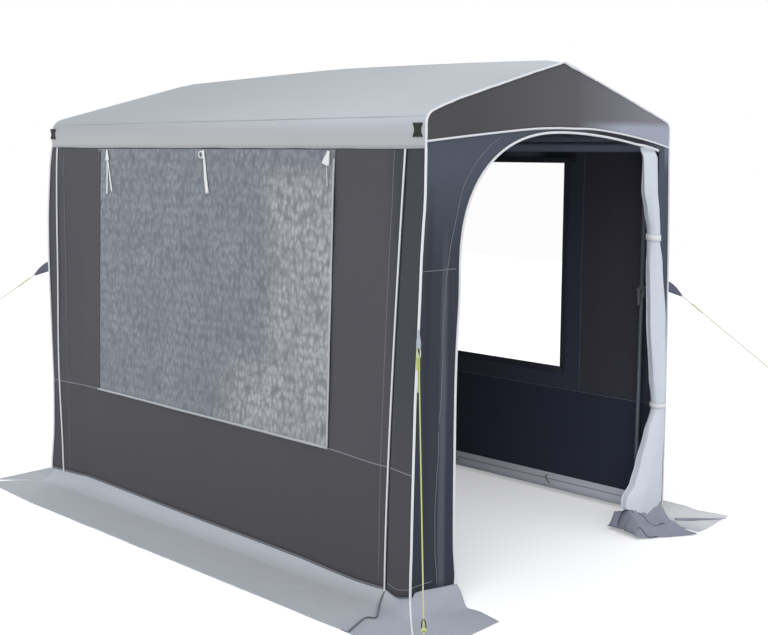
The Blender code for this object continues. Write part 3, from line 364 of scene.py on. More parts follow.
SURFACE = ("Colour", "Roughness", "Height")
print("node helpers ready")

# %% The woven cloth group
woven, given, slots = new_group(
    "woven_cloth", {"Colour": (0.5, 0.5, 0.5, 1), "Threads per metre": 900.0, "Mottle": 0.06,
                    "Crease": 0.002, "Dust": 0.0}, SURFACE)
on_cloth = scaled(node(woven, "TexCoord", output="UV"), given["Threads per metre"])
warp, weft = [(part * math.pi).maths("SINE") for part in parts_of(on_cloth)[:2]]
over = warp * weft
in_tent = node(woven, "TexCoord", output="Object")
slubs = blotches(in_tent, 85.0, 3.0)
slub = slubs - 0.5
tall = node(woven, "Mapping", {"Vector": in_tent, "Scale": (1.0, 1.0, 0.35)})
fold = blotches(tall, 5.5, 2.5, 0.45) - 0.5
mottle = blotches(in_tent, 2.3) - 0.5 + slub * 0.8 + over * 0.10
tinted = scaled(given["Colour"], mottle * given["Mottle"] + 1.0)
low = clamped(parts_of(in_tent)[2] * -4.0 + 1.0)
dirt = clamped(low * given["Dust"] * (slubs + 0.2))
give(slots, mixed(dirt, tinted, (0.40, 0.38, 0.34, 1)), slub * 0.18 + 0.80,
     over * 0.00012 + fold * given["Crease"])
print("woven_cloth:", len(woven.nodes), "nodes")

# %% [markdown]
# The flap is a foil faced quilt. Its foil is drawn down between rows of stitches into small
# upright lens shaped puffs. A stretched cell pattern gives the lenses, a slow wave gives the
# rows, and both drive a height and a painted highlight, a lighter colour on the crests.

# %% The foil quilt group
quilt, given, slots = new_group(
    "foil_quilt", {"Shade": (0.3, 0.3, 0.3, 1), "Crest": (0.6, 0.6, 0.6, 1),
                   "Lens width": 0.019, "Row height": 0.054, "Rows": 0.45, "Puff": 0.0008},
    SURFACE)
on_cloth = node(quilt, "TexCoord", output="UV")
width_way, height_way = parts_of(on_cloth)[:2]
row = height_way / given["Row height"] + (blotches(on_cloth, 9.0) - 0.5) * 0.9
cell = node(quilt, "CombineXYZ", {0: width_way / given["Lens width"], 1: row * 1.6})
lens = node(quilt, "TexVoronoi", {"Vector": cell, "Scale": 1.0, "Smoothness": 0.35},
            "Distance", feature="SMOOTH_F1")
belt = (row * math.pi).maths("SINE").maths("ABSOLUTE").maths("POWER", 0.6) - 1.0
puff = clamped(lens * -1.0 + 0.85) * (belt * given["Rows"] + 1.0)
# painted highlight on the crests of the puffs
shine = clamped(puff * ((blotches(on_cloth, 3.0, 3.0) - 0.35) * 2.0 + 1.0))
give(slots, mixed(shine, given["Shade"], given["Crest"]), puff * -0.15 + 0.48,
     puff * given["Puff"])
print("foil_quilt:", len(quilt.nodes), "nodes")

# %% [markdown]
# Steel and plastic parts share one more group: a fine skin, broad changes of tone, and small
# rubbed places that show a second colour, as where a clamp is opened and shut by hand.

# %% The worn surface group
worn, given, slots = new_group(
    "worn_surface", {"Colour": (0.5, 0.5, 0.5, 1), "Rubbed": (0.6, 0.6, 0.6, 1), "Wear": 0.3,
                     "Grain scale": 900.0, "Grain": 0.00005, "Base roughness": 0.45}, SURFACE)
in_tent = node(worn, "TexCoord", output="Object")
fine = blotches(in_tent, given["Grain scale"])
rubbing = clamped((blotches(in_tent, 38.0, 5.0, 0.68) - 0.60) * 9.0)
skin_tone = mixed(clamped(rubbing * given["Wear"]), given["Colour"], given["Rubbed"])
give(slots, scaled(skin_tone, (fine - 0.5) * 0.22 + 1.0),
     given["Base roughness"] + fine * 0.12, fine * given["Grain"])
print("worn_surface:", len(worn.nodes), "nodes")

# %% [markdown]
# Zones paint light and shade into a cloth's colour, such as the sun through one part of a
# gable; the walls are also darker near the floor. A zone is a box in the tent's own frame with
# soft sides: its mask is one inside the box, nought outside.

# %% The zone group
zone, given, slots = new_group("zone", {"Low corner": (0.0, 0.0, 0.0),
                                        "High corner": (1.0, 1.0, 1.0),
                                        "Sharpness": (10.0, 10.0, 10.0)}, ("Mask",))
in_tent = node(zone, "TexCoord", output="Object")


def vector_maths(operation, a, b):
    return node(zone, "VectorMath", {0: a, 1: b}, operation=operation)


inside = []
for high, low in ((in_tent, given["Low corner"]), (given["High corner"], in_tent)):
    depth = vector_maths("MULTIPLY", vector_maths("SUBTRACT", high, low), given["Sharpness"])
    inside.append(vector_maths("MINIMUM", vector_maths("MAXIMUM", depth, (0, 0, 0)), (1, 1, 1)))
x_share, y_share, z_share = parts_of(vector_maths("MULTIPLY", *inside))
give(slots, x_share * y_share * z_share)
print("zone:", len(zone.nodes), "nodes")

# %% [markdown]
# A finish is a material with one Principled shader, one of the groups above and a bump node.
# Colours are written as the eye sees them, from 0 to 255, and turned into the linear values
# that a shader works with.

# %% Make a finish from a group
def seen(red, green, blue):
    """The linear colour of a red, green and blue that the eye sees on a screen."""
    shares = [value / 255 for value in (red, green, blue)]
    return (*[s / 12.92 if s <= 0.04045 else ((s + 0.055) / 1.055) ** 2.4 for s in shares], 1.0)


def make_finish(name, group, settings, bump=1.0, looks=None):
    material = bpy.data.materials.new(name)
    material.use_nodes = True
    tree = material.node_tree
    surface = node(tree, "Group", settings, node_tree=group).socket.node
    colour, roughness, height = [Flow(tree, socket) for socket in surface.outputs]
    lift = node(tree, "Bump", {"Distance": 1.0, "Strength": bump, "Height": height})
    values = {"Base Color": colour, "Roughness": roughness, "Normal": lift,
              "Sheen Roughness": 0.5, "Specular IOR Level": 0.35, **(looks or {})}
    for label, value in values.items():
        plug(value, tree.nodes["Principled BSDF"].inputs[label])
    return material


def tint_zone(material, colour, low, high, soft, socket="Colour"):
    """Give one zone of a finish another colour, under the same weave."""
    tree = material.node_tree
    slot = next(item.inputs[socket] for item in tree.nodes
                if item.type == "GROUP" and socket in item.inputs)
    old = Flow(tree, slot.links[0].from_socket) if slot.is_linked else tuple(slot.default_value)
    mask = node(tree, "Group", {"Low corner": low, "High corner": high,
                                "Sharpness": [1 / width for width in soft]}, node_tree=zone)
    plug(mixed(mask, old, seen(*colour)), slot)


def cloth_finish(name, colour, mottle=0.10, crease=0.0, threads=900.0, dust=0.0):
    return make_finish(name, woven, {"Colour": seen(*colour), "Threads per metre": threads,
                                     "Mottle": mottle, "Crease": crease, "Dust": dust},
                       looks={"Sheen Weight": 0.05})


def thread_finish(name, colour, mottle=0.10, crease=0.0):
    return cloth_finish(name, colour, mottle, crease, 1400.0)


def hard_finish(name, colour, rubbed, wear, scale, roughness, grain=0.00005, looks=None):
    return make_finish(name, worn, {"Colour": seen(*colour), "Rubbed": seen(*rubbed),
                                    "Wear": wear, "Grain scale": scale, "Grain": grain,
                                    "Base roughness": roughness}, looks=looks)


print("finish helpers ready")

# %% Weave the cloth finishes
FAR = 5.0
roof_cloth = cloth_finish("roof_polyester", (170, 175, 179), 0.04, 0.0012)
roof_lining = cloth_finish("roof_lining", (120, 123, 130), 0.06, 0.0012)
wall_cloth = cloth_finish("wall_polyester", (78, 78, 83), 0.08, 0.0022)
wall_lining = cloth_finish("wall_lining", (59, 64, 79), 0.12, 0.0022)
panel_cloth = cloth_finish("front_polyester", (50, 54, 66), 0.12, 0.0050)
gable_cloth = cloth_finish("gable_polyester", (73, 73, 74), 0.10, 0.0020)
skirt_cloth = cloth_finish("skirt_polyethylene", (184, 188, 196), 0.06, 0.0030, 620.0, 0.12)
print("cloth finishes", len(bpy.data.materials))

# %% Paint light and shade on the cloths by zones
for finish, *zone_values in (
        # painted light: the roof lighter toward the front, and lighter still toward its front right
        (roof_cloth, (191, 196, 202), (-FAR, -FAR, 1), (FAR, 0.75, 3), (1, 1.7, 1)),
        (roof_cloth, (198, 203, 208), (-0.34, -FAR, 1), (FAR, -0.50, 3), (0.3, 0.8, 1)),
        # below 2.012 m the valance band takes one even grey in place of the slope's painted light
        (roof_cloth, (185, 186, 188), (-FAR, -FAR, 1), (FAR, FAR, 2.012), (1, 1, 0.050)),
        (wall_cloth, (75, 74, 79), (-FAR, -FAR, 0), (FAR, FAR, 0.597), (1, 1, 0.01)),
        (wall_cloth, (65, 65, 73), (-FAR, -FAR, 0), (FAR, -1.18, 3), (1, 0.07, 1)),
        (wall_lining, (63, 63, 72), (0.8, -1.3, 0.605), (FAR, -0.905, 3), (0.1, 0.01, 0.006)),
        # painted shade: a dark band above the right window, inside
        (wall_lining, (34, 36, 43), (0.8, -0.86, 1.832), (FAR, 2, 3), (0.1, 0.02, 0.006)),
        # painted light: a lit blue-grey band along the top of the lining inside the right wall
        # (this zone and the next)
        (wall_lining, (146, 154, 176), (0.6, -FAR, 1.884), (FAR, FAR, 3), (0.1, 0.1, 0.010)),
        (wall_lining, (146, 154, 176), (0.6, -0.66, 1.850), (FAR, -0.3, 3), (0.1, 0.3, 0.010)),
        (wall_lining, (46, 52, 70), (0.8, -FAR, -1), (FAR, FAR, 0.606), (0.1, 0.1, 0.01)),
        # painted light: the front wall lighter toward its top, and on its strip right of the door
        (panel_cloth, (76, 82, 98), (-FAR, -FAR, 1.42), (0.5, 0, 3), (0.1, 0.1, 0.42)),
        (panel_cloth, (75, 80, 96), (0.6, -FAR, -1), (FAR, 0, 3), (0.1, 0.1, 1)),
        # painted highlight at the top of the front wall's right edge
        (panel_cloth, (112, 121, 142), (0.862, -FAR, 1.79), (FAR, 0, 3), (0.012, 0.1, 0.09)),
        # painted shadow: the dark band between the door's arch and the gable
        (panel_cloth, (32, 34, 44), (0.16, -FAR, 1.885), (0.812, 0, 3), (0.16, 0.1, 0.02)),
        # painted shade of a soft vertical fold near the front left corner
        (panel_cloth, (46, 48, 61), (-0.892, -FAR, -1), (-0.842, 0, 1.78), (0.018, 0.1, 0.3)),
        # painted highlight: a light streak on the front wall's left strip
        (panel_cloth, (82, 87, 98), (-0.800, -FAR, -1), (-0.752, 0, 1.62), (0.016, 0.1, 0.3)),
        # painted light: the gable lighter toward its right, and lightest low on the right, where
        # light comes through it
        (gable_cloth, (92, 92, 96), (-0.60, -FAR, 1), (FAR, 0, 3), (0.75, 0.1, 0.1)),
        (gable_cloth, (131, 131, 139), (0.10, -FAR, 1), (FAR, 0, 3), (0.60, 0.1, 0.1)),
        (gable_cloth, (167, 172, 189), (0.12, -FAR, 1), (FAR, 0, 2.036), (0.36, 0.1, 0.030)),
        # painted shade and light: the front left skirt a little darker, the front right skirt
        # lighter
        (skirt_cloth, (174, 178, 191), (-FAR, -FAR, -1), (-0.3, -1.2, 1), (0.1, 0.1, 1)),
        (skirt_cloth, (222, 223, 226), (0.80, -FAR, -1), (FAR, -1.2, 1), (0.16, 0.1, 1))):
    tint_zone(finish, *zone_values)
print("zones placed", zone.users)

# %% Choose the threads, tapes and ropes
curtain_cloth = cloth_finish("curtain_polyester", (217, 223, 233), 0.04, 0.0014)
# the crumpled skirt under the curtain, in the skirt cloth painted darker for the shade it lies in
shaded_bunch_cloth = cloth_finish("bunched_cloth", (146, 149, 163), 0.22, 0.0060)
tape_cloth = thread_finish("white_tape", (236, 237, 240), 0.05)
piping_cloth = thread_finish("white_piping", (238, 239, 243), 0.04)
binding_cloth = thread_finish("window_binding", (50, 53, 62), 0.10, 0.0010)
seam_thread = thread_finish("seam_thread", (182, 185, 190))
pale_thread = thread_finish("pale_thread", (134, 136, 142))
inside_thread = thread_finish("inside_thread", (116, 118, 124))
# painted shadow: a near black for thin shadow lines in folds and creases
dark_fold = thread_finish("dark_fold", (24, 25, 33))
dark_thread = thread_finish("dark_thread", (62, 64, 70))
webbing_cloth = cloth_finish("grey_webbing", (102, 104, 120), 0.14, 0.0, 520.0)
rope_braid = cloth_finish("lime_braid", (198, 206, 134), 0.16, 0.0, 1.0)
# painted light: the lime braid made paler, as where it is sunlit
lit_braid = cloth_finish("sunlit_braid", (206, 210, 178), 0.14, 0.0, 1.0)
print("finishes so far", len(bpy.data.materials))

# %% Choose the foil, the steel and the plastic
foil = make_finish("foil_flap", quilt, {"Shade": seen(112, 116, 124),
                                        "Crest": seen(146, 150, 157), "Rows": 0.55},
                   bump=0.7, looks={"Metallic": 0.15})
# painted sheen: the flap's foil lighter toward the front of the tent
for high, soft in (((0, -0.38, 1.86), (1, 0.14, 0.12)), ((0, 0.05, 0.98), (1, 0.30, 0.22))):
    tint_zone(foil, (128, 130, 134), (-FAR, -FAR, 0), high, soft, "Shade")
    tint_zone(foil, (186, 188, 190), (-FAR, -FAR, 0), high, soft, "Crest")
painted_steel = hard_finish("painted_steel", (92, 98, 110), (128, 132, 140), 0.35, 700.0, 0.52,
                            looks={"Metallic": 0.1})
zinc_steel = hard_finish("zinc_steel", (118, 124, 136), (150, 152, 156), 0.5, 260.0, 0.46,
                         looks={"Metallic": 0.4})
black_plastic = hard_finish("black_plastic", (38, 41, 38), (74, 76, 74), 0.45, 1500.0, 0.50,
                            0.00004)
grey_plastic = hard_finish("grey_plastic", (112, 114, 118), (140, 140, 142), 0.35, 1500.0, 0.50,
                           0.00004)
olive_plastic = hard_finish("olive_plastic", (66, 70, 34), (120, 124, 80), 0.35, 1500.0, 0.42,
                            0.00004)
silver = hard_finish("silver_hook", (176, 184, 194), (214, 216, 220), 0.4, 400.0, 0.35,
                     looks={"Metallic": 0.5})
print("finishes", len(bpy.data.materials))

# %% [markdown]
# The clear window film and the insect net let the background through. The film is a thin
# smooth sheet whose Alpha is low. The net is a weave whose Alpha is drawn by the threads.

# %% Clear film and insect net
clear_film = hard_finish("clear_film", (238, 241, 246), (226, 230, 236), 0.0, 3.0, 0.04, 0.0004,
                         looks={"Alpha": 0.025, "Specular IOR Level": 0.08})
NET_THREADS, THREAD_HALF = 700.0, 0.17
insect_net = cloth_finish("insect_net", (46, 47, 50), 0.10, 0.0010, NET_THREADS)
on_net = scaled(node(insect_net.node_tree, "TexCoord", output="UV"), NET_THREADS)
across_net, down_net = [part.maths("PINGPONG", 0.5) for part in parts_of(on_net)[:2]]
solid = across_net.maths("MINIMUM", down_net).maths("LESS_THAN", THREAD_HALF)
plug(solid, insect_net.node_tree.nodes["Principled BSDF"].inputs["Alpha"])
print("net thread share", round(1 - (1 - 2 * THREAD_HALF) ** 2, 2))

# %% [markdown]
# ## Making cloth
# A cloth panel is a grid of points, given row by row. The helper skins the grid, writes map
# coordinates in metres along the cloth, so that one weave fits every panel, turns the faces
# outward and gives the cloth a thickness with Solidify. The inside face takes its own finish,
# because the lining of a tent looks darker than its outside.

# %% Skin a grid of points
def skin(name, grids, outward=None, skip=(), closed=False, each=False):
    """One mesh of grids, whose points each come with their place on the cloth."""
    work = bmesh.new()
    layer = work.loops.layers.uv.new("UVMap")
    for grid in grids:
        spots = [[work.verts.new(point) for point, mark in row] for row in grid]
        squares = [(i, k) for i in range(len(grid) - 1) for k in range(len(grid[0]) - 1)]
        for i, k in squares:
            if (i, k) in skip:
                continue
            ring = ((i, k), (i, k + 1), (i + 1, k + 1), (i + 1, k))
            face = work.faces.new([spots[a][b] for a, b in ring])
            face.smooth = True
            for loop, (a, b) in zip(face.loops, ring):
                loop[layer].uv = grid[a][b][1]
    if closed:
        bmesh.ops.remove_doubles(work, verts=work.verts, dist=0.00002)
    for loose in [v for v in work.verts if not v.link_faces]:
        work.verts.remove(loose)
    work.normal_update()
    if outward is not None:
        leans = [f.normal.dot(Vector(outward)) * f.calc_area() for f in work.faces]
        whole = sum(leans)
        wrong = [f for f, lean in zip(work.faces, leans) if (lean if each else whole) < 0]
        bmesh.ops.reverse_faces(work, faces=wrong)
    mesh = bpy.data.meshes.new(name)
    work.to_mesh(mesh)
    work.free()
    return mesh


def grid_mesh(name, rows, outward=None, skip=(), closed=False):
    along = [runs(row) for row in rows]
    down = [runs(column) for column in zip(*rows)]
    grid = [[(point, (along[i][k], down[k][i])) for k, point in enumerate(row)]
            for i, row in enumerate(rows)]
    return skin(name, [grid], outward, skip, closed)


print("grid helpers ready")

# %% Place a piece and give it a thickness
def place_piece(name, data, finishes, body="root"):
    for finish in finishes:
        data.materials.append(finish)
    piece = bpy.data.objects.new(name, data)
    bpy.context.scene.collection.objects.link(piece)
    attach(piece, body)
    return piece


def thicken(piece, thick, offset=-1.0):
    shell = piece.modifiers.new("cloth_thickness", "SOLIDIFY")
    shell.thickness = thick
    shell.offset = offset
    shell.material_offset = 1 if len(piece.data.materials) > 1 else 0
    return piece


def cloth_panel(name, rows, outward, finishes, thick=0.0012, skip=(), body="root"):
    piece = place_piece(name, grid_mesh(name, rows, outward, skip), finishes, body)
    return thicken(piece, thick) if thick else piece


def mesh_area(piece):
    return round(sum(face.area for face in piece.data.polygons), 3)


def stand_for(piece, solid_name, slot, **sheet):
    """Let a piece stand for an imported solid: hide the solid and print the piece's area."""
    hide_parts(solid_name)
    print(piece.name, mesh_area(piece), "square metres")


print("cloth helpers ready")

# %% [markdown]
# ## Piping, seams and tapes
# White piping runs along nearly every edge of this tent. Piping is a cord sewn into a strip,
# so a curve with a round bevel is the right tool: it takes the same points as the edge of the
# cloth. A flat seam is a thin ribbon laid on the cloth, a little proud of it.

# %% Round piping and flat ribbons
def piping(name, lines, radius=0.0032, finish=None, body="root", swell=None):
    curve = bpy.data.curves.new(name, "CURVE")
    curve.dimensions = "3D"
    curve.bevel_depth = radius
    curve.bevel_resolution = 2
    curve.use_fill_caps = True
    for line in lines:
        spline = curve.splines.new("POLY")
        spline.points.add(len(line) - 1)
        for spot, point in zip(spline.points, line):
            spot.co = (*point, 1.0)
            spot.radius = swell(point) if swell else 1.0
        spline.use_smooth = True
    return place_piece(name, curve, [finish or piping_cloth], body)


def ribbon(name, lines, normal, width, finish, lift=0.0006, body="root", thick=0.0005):
    face = Vector(normal).normalized()
    grids = []
    for line in lines:
        grid = [[], []]
        for point, heading, run in zip(line, headings(line), runs(line)):
            aside = heading.cross(face).normalized() * width / 2
            grid[0].append((point + face * lift - aside, (run, 0)))
            grid[1].append((point + face * lift + aside, (run, width)))
        grids.append(grid)
    mesh = skin(name, grids, face, each=True)
    return thicken(place_piece(name, mesh, [finish], body), thick)


print("piping helpers ready")

# %% [markdown]
# ## The roof canopy
# The roof is one cloth: from the left valance up round the shoulder, over the ridge and down
# to the right valance. It is drawn tight over the two arches and hangs a little between them.
# One grid follows the cross-section, and each row is a station along the tent.

# %% Shape the roof along the tent
FRONT_SHOULDER, REAR_SHOULDER = 0.048, 0.084
RIDGE_STATIONS = (-ROOF_END, -LEG_Y, -LEG_Y * 2 / 3, -LEG_Y / 3, 0.0, LEG_Y / 3, LEG_Y * 2 / 3,
                  LEG_Y, ROOF_END)
RIDGE_RISE = (0.0, 0.014, 0.024, 0.030, 0.033, 0.024, 0.012, 0.0, -0.010)
FRONT_DROOP, FRONT_DROOP_START = 0.014, 0.20
LEFT_PLACES = (-0.90, -0.83, -0.70, -0.45, -0.18, 0.0)
LEFT_RISES = (0.0, 0.007, 0.012, 0.009, 0.005, 0.0)


def roof_line(x, inset=0.0):
    return RIDGE_HEIGHT - ROOF_SLOPE * abs(x) - inset / math.cos(ROOF_ANGLE)


def shoulder(y):
    """The eave turns tightly at the front gable and is rounder at the rear one."""
    turn = FRONT_SHOULDER + (REAR_SHOULDER - FRONT_SHOULDER) * (y + ROOF_END) / (2 * ROOF_END)
    return turn, ROOF_HALF - turn, roof_line(ROOF_HALF - turn, turn)


def roof_lift(x, y):
    """The bowed ridge lifts the roof, and its front right corner hangs a little."""
    rise = curve_at(y, RIDGE_STATIONS, RIDGE_RISE) * max(0.0, 1 - abs(x) / shoulder(y)[1])
    beyond = min(max((-y - LEG_Y) / (ROOF_END - LEG_Y), 0.0), 1.0)
    right = min(max((x - FRONT_DROOP_START) / (HALF_WIDTH - FRONT_DROOP_START), 0.0), 1.0)
    left = curve_at(x, LEFT_PLACES, LEFT_RISES) * smooth_step((-1.0 - y) / 0.4) * (x < 0)
    return rise + left - FRONT_DROOP * beyond * right ** 1.2


print("ridge at the middle", round(RIDGE_HEIGHT + roof_lift(0, 0), 3))

# %% Shape the roof's cross-section
def roof_section(inset, low, y, valance_steps=6, turn_steps=9, slope_steps=26):
    turn, centre_x, centre_z = shoulder(y)
    half = [(ROOF_HALF - inset, low + (centre_z - low) * k / valance_steps)
            for k in range(valance_steps)]
    half += [(centre_x + (turn - inset) * math.cos(a), centre_z + (turn - inset) * math.sin(a))
             for a in rising(0.0, math.pi / 2 - ROOF_ANGLE, turn_steps)]
    half += [(x, roof_line(x, inset)) for x in rising(half[-1][0], 0.0, slope_steps)[1:]]
    both = [(-x, z) for x, z in half] + half[-2::-1]
    return [(x, z + roof_lift(x, y)) for x, z in both]


def roof_sag(x, y):
    if abs(y) >= LEG_Y or abs(x) >= LEG_X:
        return 0.0
    across_tent = math.sin(math.pi * abs(x) / LEG_X) ** 2
    return 0.012 * across_tent * math.cos(math.pi * y / (2 * LEG_Y))


print("roof section points", len(roof_section(0.0, VALANCE_HEIGHT, 0.0)))

# %% Lay the canopy over the arches
roof_stations = [-ROOF_END, -1.395, -1.37, -1.34, -LEG_Y, -1.27, -1.235]
roof_stations += rising(-1.18, 1.18, 60) + [-y for y in reversed(roof_stations)]


def roof_point(x, z, y):
    point = Vector((x, y, z - roof_sag(x, y)))
    side = 1 if x > 0 else -1
    top = shoulder(y)[2] + roof_lift(x, y)
    if abs(x) > ROOF_HALF - 1e-6:
        hang = (top - z) / (top - VALANCE_HEIGHT - roof_lift(x, y))
        point.x += side * hang * (0.0022 * rumple((0, y, 0), 0.11, 3.1) + 0.0014)
        point.z += hang * 0.004 * max(0.0, rumple((0, y, 0), 0.16, 7.7))
    else:
        free = smooth_step((1.29 - abs(y)) / 0.12) * smooth_step((abs(x) - 0.03) / 0.15)
        point.z += free * (0.0030 * rumple((x, y * 0.7, 0), 0.23, 1.7) - 0.0010)
    point.z -= 0.0008 * math.exp(-abs(x) / 0.012)
    return point


roof_rows = [[roof_point(x, z, y) for x, z in roof_section(0.0, VALANCE_HEIGHT, y)]
             for y in roof_stations]
canopy = cloth_panel("roof_canopy_cloth", roof_rows, UP, [roof_cloth, roof_lining], 0.0013)
stand_for(canopy, "roof_canopy", "roof_cloth", flat=(2.06, 2.81), held="stretched",
          rests_on=["arch_tube_front_left", "arch_tube_front_right", "arch_tube_rear_left",
                    "arch_tube_rear_right", "ridge_pole"])

# %% [markdown]
# The front and rear edges of the roof carry a thin white piping. A seam runs along each eave,
# where the valance strip is sewn to the roof, and the valance ends in a stitched hem.

# %% Trim the roof's edges
def roof_edge(end, lift=0.0012):
    y = end * ROOF_END
    line = []
    for x, z in roof_section(0.0, VALANCE_HEIGHT, y, slope_steps=60):
        wave = 0.0014 * rumple((x, y, 0), 0.05, 4.0) * (end < 0)
        line.append(roof_point(x, z, y) + Vector((0, end * lift, 0.0005 + wave)))
    return line


def front_swell(point):
    """The front piping is stuffed a little thicker just right of the ridge."""
    return 1 + 0.8 * math.exp(-((point.x - 0.070) / 0.035) ** 2) + 0.15 * rumple(point, 0.04, 6.0)


piping("roof_front_piping", [roof_edge(-1)], 0.0046, swell=front_swell)
piping("roof_rear_piping", [roof_edge(1)], 0.0026)
EAVE_ANGLE = math.radians(38)
for word, side in SIDES:
    out = Vector((side * math.cos(EAVE_ANGLE), 0, math.sin(EAVE_ANGLE)))
    eave_line, hem_line = [], []
    for y in roof_stations:
        turn, centre_x, centre_z = shoulder(y)
        rise = roof_lift(side * ROOF_HALF, y)
        eave_line.append(Vector((side * centre_x, y, centre_z + rise)) + out * (turn + 0.0004))
        hem_line.append(roof_point(side * ROOF_HALF, VALANCE_HEIGHT + 0.012 + rise, y)
                        + Vector((side * 0.0007, 0, 0)))
    ribbon("eave_seam_" + word, [eave_line], out, 0.0022, seam_thread, 0.0003)
    ribbon("valance_stitch_" + word, [hem_line], (side, 0, 0), 0.0010, seam_thread, 0.0003)
print("eave seam height", round(eave_line[0].z, 3))

# %% [markdown]
# ## The gables
# Under each end of the roof hangs a dark gable with an arched lower edge. It is a separate
# cloth in front of the wall, so its edge casts a thin shadow and carries its own piping.

# %% Cut the two gables
GABLE_PLACES = (-0.50, -0.20, 0.05, 0.24, 0.45, 0.88)
GABLE_PULLS = (0.0, 0.001, -0.0035, 0.001, 0.002, 0.006)
GABLE_INSET = 0.0021


def gable_edge(x):
    share = abs(x) / HALF_WIDTH
    fall = 0.064 * share ** 1.3 if x < 0 else 0.081 * share ** 2
    return VALANCE_HEIGHT + 0.094 + curve_at(x, GABLE_PLACES, GABLE_PULLS) - fall


def gable_rows(end):
    y = end * ROOF_END
    grid = []
    for share in rising(0.0, 1.0, 14):
        line = []
        for x, z in roof_section(GABLE_INSET, VALANCE_HEIGHT, y, 0, 10, 44):
            low = Vector((x, y, gable_edge(x) + min(roof_lift(x, y), 0.0) * (end < 0)))
            point = low.lerp(Vector((x, y, z)), share)
            free = 4 * share * (1 - share)
            point.y += end * 0.004 * free * max(0.0, 0.4 + rumple(point, 0.35, 4.4))
            line.append(point)
        grid.append(line)
    return grid


for word, end, radius in (("front", -1, 0.0045), ("rear", 1, 0.0034)):
    rows = gable_rows(end)
    gable = cloth_panel(word + "_gable_cloth", rows, (0, end, 0), [gable_cloth, wall_lining],
                        0.0011)
    stand_for(gable, word + "_gable", "gable_cloth", flat=(1.81, 0.38), held="stretched",
              area=0.45, rests_on=["roof_canopy_cloth"])
    edge = [p + Vector((0, end * 0.0012, 0)) for p in rows[0]]
    piping(word + "_gable_piping", [edge], radius)

# %% [markdown]
# ## The front wall and its doorway
# The front wall is one cloth with a tall arched hole. Its outer edge follows the corner
# piping and the roof, its inner edge follows the door. Matching the two edges point by point
# gives a grid whose rows run round the doorway, and these rows also carry the door's piping.

# %% Follow the door's edge
DOOR_LEFT, DOOR_RIGHT = -0.690, 0.810
JAMB_HEIGHTS = (HEM_HEIGHT, 0.105, 0.22, 0.44, 0.90, 1.09, 1.29, 1.41)
JAMB_PLACES = (-0.702, -0.699, -0.710, -0.713, -0.712, -0.706, -0.692, -0.690)
DOOR_SPRING_HEIGHT = 1.410
DOOR_TOP_X, DOOR_TOP_HEIGHT, DOOR_RIGHT_HEIGHT = 0.012, 1.977, 1.890
DOOR_ROUNDNESS = 2.42


def front_spot(x, z):
    return Vector((x, -HALF_LENGTH, z))


def door_head(half):
    points = []
    for angle in rising(0.0, math.pi / 2, half):
        reach = math.cos(angle)
        rise = (1 - reach ** DOOR_ROUNDNESS) ** (1 / DOOR_ROUNDNESS)
        high = DOOR_SPRING_HEIGHT + (DOOR_TOP_HEIGHT - DOOR_SPRING_HEIGHT) * rise
        points.append(front_spot(DOOR_TOP_X + (DOOR_LEFT - DOOR_TOP_X) * reach, high))
    for share in rising(0.0, 1.0, half)[1:]:
        drop = (DOOR_TOP_HEIGHT - DOOR_RIGHT_HEIGHT) * share ** 1.8
        points.append(front_spot(DOOR_TOP_X + (DOOR_RIGHT - DOOR_TOP_X) * share,
                                 DOOR_TOP_HEIGHT - drop))
    return points


head = door_head(40)
print("door head length", round(path_length(head), 3))

# %% Cut the front wall
JAMB_STEPS = 44


def jamb_heights(top):
    return rising(HEM_HEIGHT, top, JAMB_STEPS)[:-1]


def front_hem_rise(x, z):
    return hem_rise(x, -HALF_LENGTH) * (1 - smooth_step((z - HEM_HEIGHT) / 0.12)) * (x < -0.5)


under_roof = [front_spot(*place)
              for place in roof_section(GABLE_INSET, VALANCE_HEIGHT, -HALF_LENGTH)]
outer_line = [corner(-1, -1, z) for z in jamb_heights(VALANCE_HEIGHT)]
outer_line += even(under_roof, len(head) - 1)
outer_line += [corner(1, -1, z) for z in reversed(jamb_heights(VALANCE_HEIGHT))]
door_line = [front_spot(curve_at(z, JAMB_HEIGHTS, JAMB_PLACES), z)
             for z in jamb_heights(DOOR_SPRING_HEIGHT)] + head
door_line += [front_spot(DOOR_RIGHT, z) for z in reversed(jamb_heights(DOOR_RIGHT_HEIGHT))]

front_rows = []
for share in rising(0.0, 1.0, 14):
    line = []
    for out_point, in_point in zip(outer_line, door_line):
        point = out_point.lerp(in_point, share)
        free = 4 * share * (1 - share) * smooth_step((1.80 - point.z) / 0.5)
        drape = 0.010 * rumple((point.x * 1.6, 0, point.z * 0.42), 0.16, 2.2)
        drape += 0.004 * rumple((point.x, 0, point.z), 0.12, 5.1)
        point.y += free * (drape + 0.003)
        point.z += front_hem_rise(point.x, point.z)
        line.append(point)
    front_rows.append(line)
front_wall = cloth_panel("front_wall_cloth", front_rows, (0, -1, 0), [panel_cloth, wall_lining])
stand_for(front_wall, "front_wall", "wall_cloth", flat=(1.86, 2.22), held="hung", area=1.30,
          rests_on=["roof_canopy_cloth"])

# %% [markdown]
# ## The side walls
# Each side wall is a cloth of two panels with a window hole. The grid has a column at every
# seam and window edge, so the hole has straight sides. The cloth bulges outward at the rear
# corner, and swells a little inward between its seams.

# %% Cut the side walls
WINDOW_FRONT, WINDOW_REAR = -0.775, 0.885
WINDOW_SILL, WINDOW_HEAD = 0.717, 1.828
SEAM_SET, SEAM_SWAY, SEAM_POWER = {-1: 0.108, 1: 0.117}, {-1: 0.112, 1: 0.050}, {-1: 1.35, 1: 2}
REAR_FLARE_START = 1.15


def side_seam(side, z):
    return -HALF_LENGTH + SEAM_SET[side] + SEAM_SWAY[side] * hem_share(z, SEAM_POWER[side])


